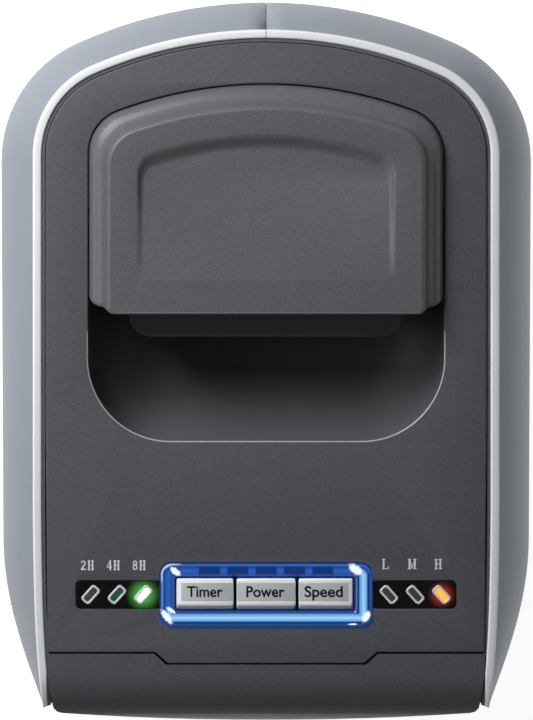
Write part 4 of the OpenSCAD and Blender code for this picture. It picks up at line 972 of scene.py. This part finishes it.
def make_floor():
    """A white floor that takes the object's shadow."""
    size = 30.0
    mesh = bpy.data.meshes.new("floor")
    corners = [(-size, -size, 0), (size, -size, 0), (size, size, 0), (-size, size, 0)]
    mesh.from_pydata(corners, [], [(0, 1, 2, 3)])
    floor = bpy.data.objects.new("floor", mesh)
    bpy.context.scene.collection.objects.link(floor)
    mat, tree, shader = new_material("floor", (0.6, 0.6, 0.6), 0.9, Specular_IOR_Level=0.0)
    shader.inputs["Emission Color"].default_value = (1, 1, 1, 1)
    path = add(tree, "ShaderNodeLightPath").outputs
    seen = largest(tree, [path["Is Camera Ray"], path["Is Glossy Ray"],
                          path["Is Transmission Ray"]])
    tree.links.new(calc(tree, "MULTIPLY", seen, 0.9), shader.inputs["Emission Strength"])
    mesh.materials.append(mat)


def make_world(horizon, zenith, ceiling):
    """White where it is seen, with a dimmer ceiling in reflections; its light on the object falls
    from the horizon to the zenith."""
    world = bpy.data.worlds.new("studio")
    world.use_nodes = True
    tree = world.node_tree
    path = add(tree, "ShaderNodeLightPath").outputs
    way = add(tree, "ShaderNodeTexCoord").outputs["Generated"]
    up = add(tree, "ShaderNodeSeparateXYZ", {0: way})
    mirrored_in = add(tree, "ShaderNodeMapRange", {"Value": up.outputs[2], "From Min": 0.2,
                                                   "To Min": 1.0, "To Max": ceiling})
    indirect = largest(tree, [path["Is Glossy Ray"], path["Is Transmission Ray"]])
    seen = calc(tree, "MULTIPLY", indirect, mirrored_in.outputs["Result"])
    level = calc(tree, "SUBTRACT", 1.0, calc(tree, "ABSOLUTE", up.outputs[2]))
    low = calc(tree, "POWER", level, 2.0)
    light = calc(tree, "ADD", calc(tree, "MULTIPLY", low, horizon - zenith), zenith)
    tree.links.new(largest(tree, [path["Is Camera Ray"], seen, light]),
                   tree.nodes["Background"].inputs["Strength"])
    tree.nodes["Background"].inputs["Color"].default_value = (1, 1, 1, 1)
    bpy.context.scene.world = world


def area_light(name, location, target, size, watts):
    light = bpy.data.lights.new(name, "AREA")
    light.shape = "RECTANGLE"
    light.size, light.size_y = size
    light.energy = watts
    obj = bpy.data.objects.new(name, light)
    obj.location = location
    obj.rotation_euler = (Vector(target) - Vector(location)).to_track_quat("-Z", "Y").to_euler()
    obj.visible_camera = False
    bpy.context.scene.collection.objects.link(obj)


PHOTO = (533, 720)                 # the photograph's frame, in pixels
MM_PER_PX = 0.4065                 # scale of the body in the photograph
MIDDLE = (266.1, 360.3)            # the body's middle in the photograph
SCALE_Z = TOP_Z - 24               # height at which that scale holds
CAMERA_Z = 9.5


def make_camera():
    data = bpy.data.cameras.new("camera")
    camera = bpy.data.objects.new("camera", data)
    bpy.context.scene.collection.objects.link(camera)
    bpy.context.scene.camera = camera
    camera.location = ((PHOTO[0] / 2 - MIDDLE[0]) * MM_PER_PX * MM,
                       (PHOTO[1] / 2 - MIDDLE[1]) * MM_PER_PX * -MM, CAMERA_Z)
    data.sensor_width = 36
    data.lens = data.sensor_width * (CAMERA_Z - SCALE_Z * MM) / (PHOTO[1] * MM_PER_PX * MM)
    data.clip_end = 100


make_floor()
make_world(0.36, 0.02, 0.12)
middle = (0, 0, 0.39)
area_light("key", (-0.38, 0.46, 0.88), (-0.1, 0.08, 0.39), (0.4, 0.4), 7.8)
area_light("side", (-1.0, 0.0, 0.76), middle, (0.3, 0.5), 1.5)
area_light("fill", (1.4, 0.1, 0.2), (0, 0, 0.2), (0.8, 0.8), 1.6)
make_camera()

bpy.context.scene.view_settings.view_transform = "Standard"
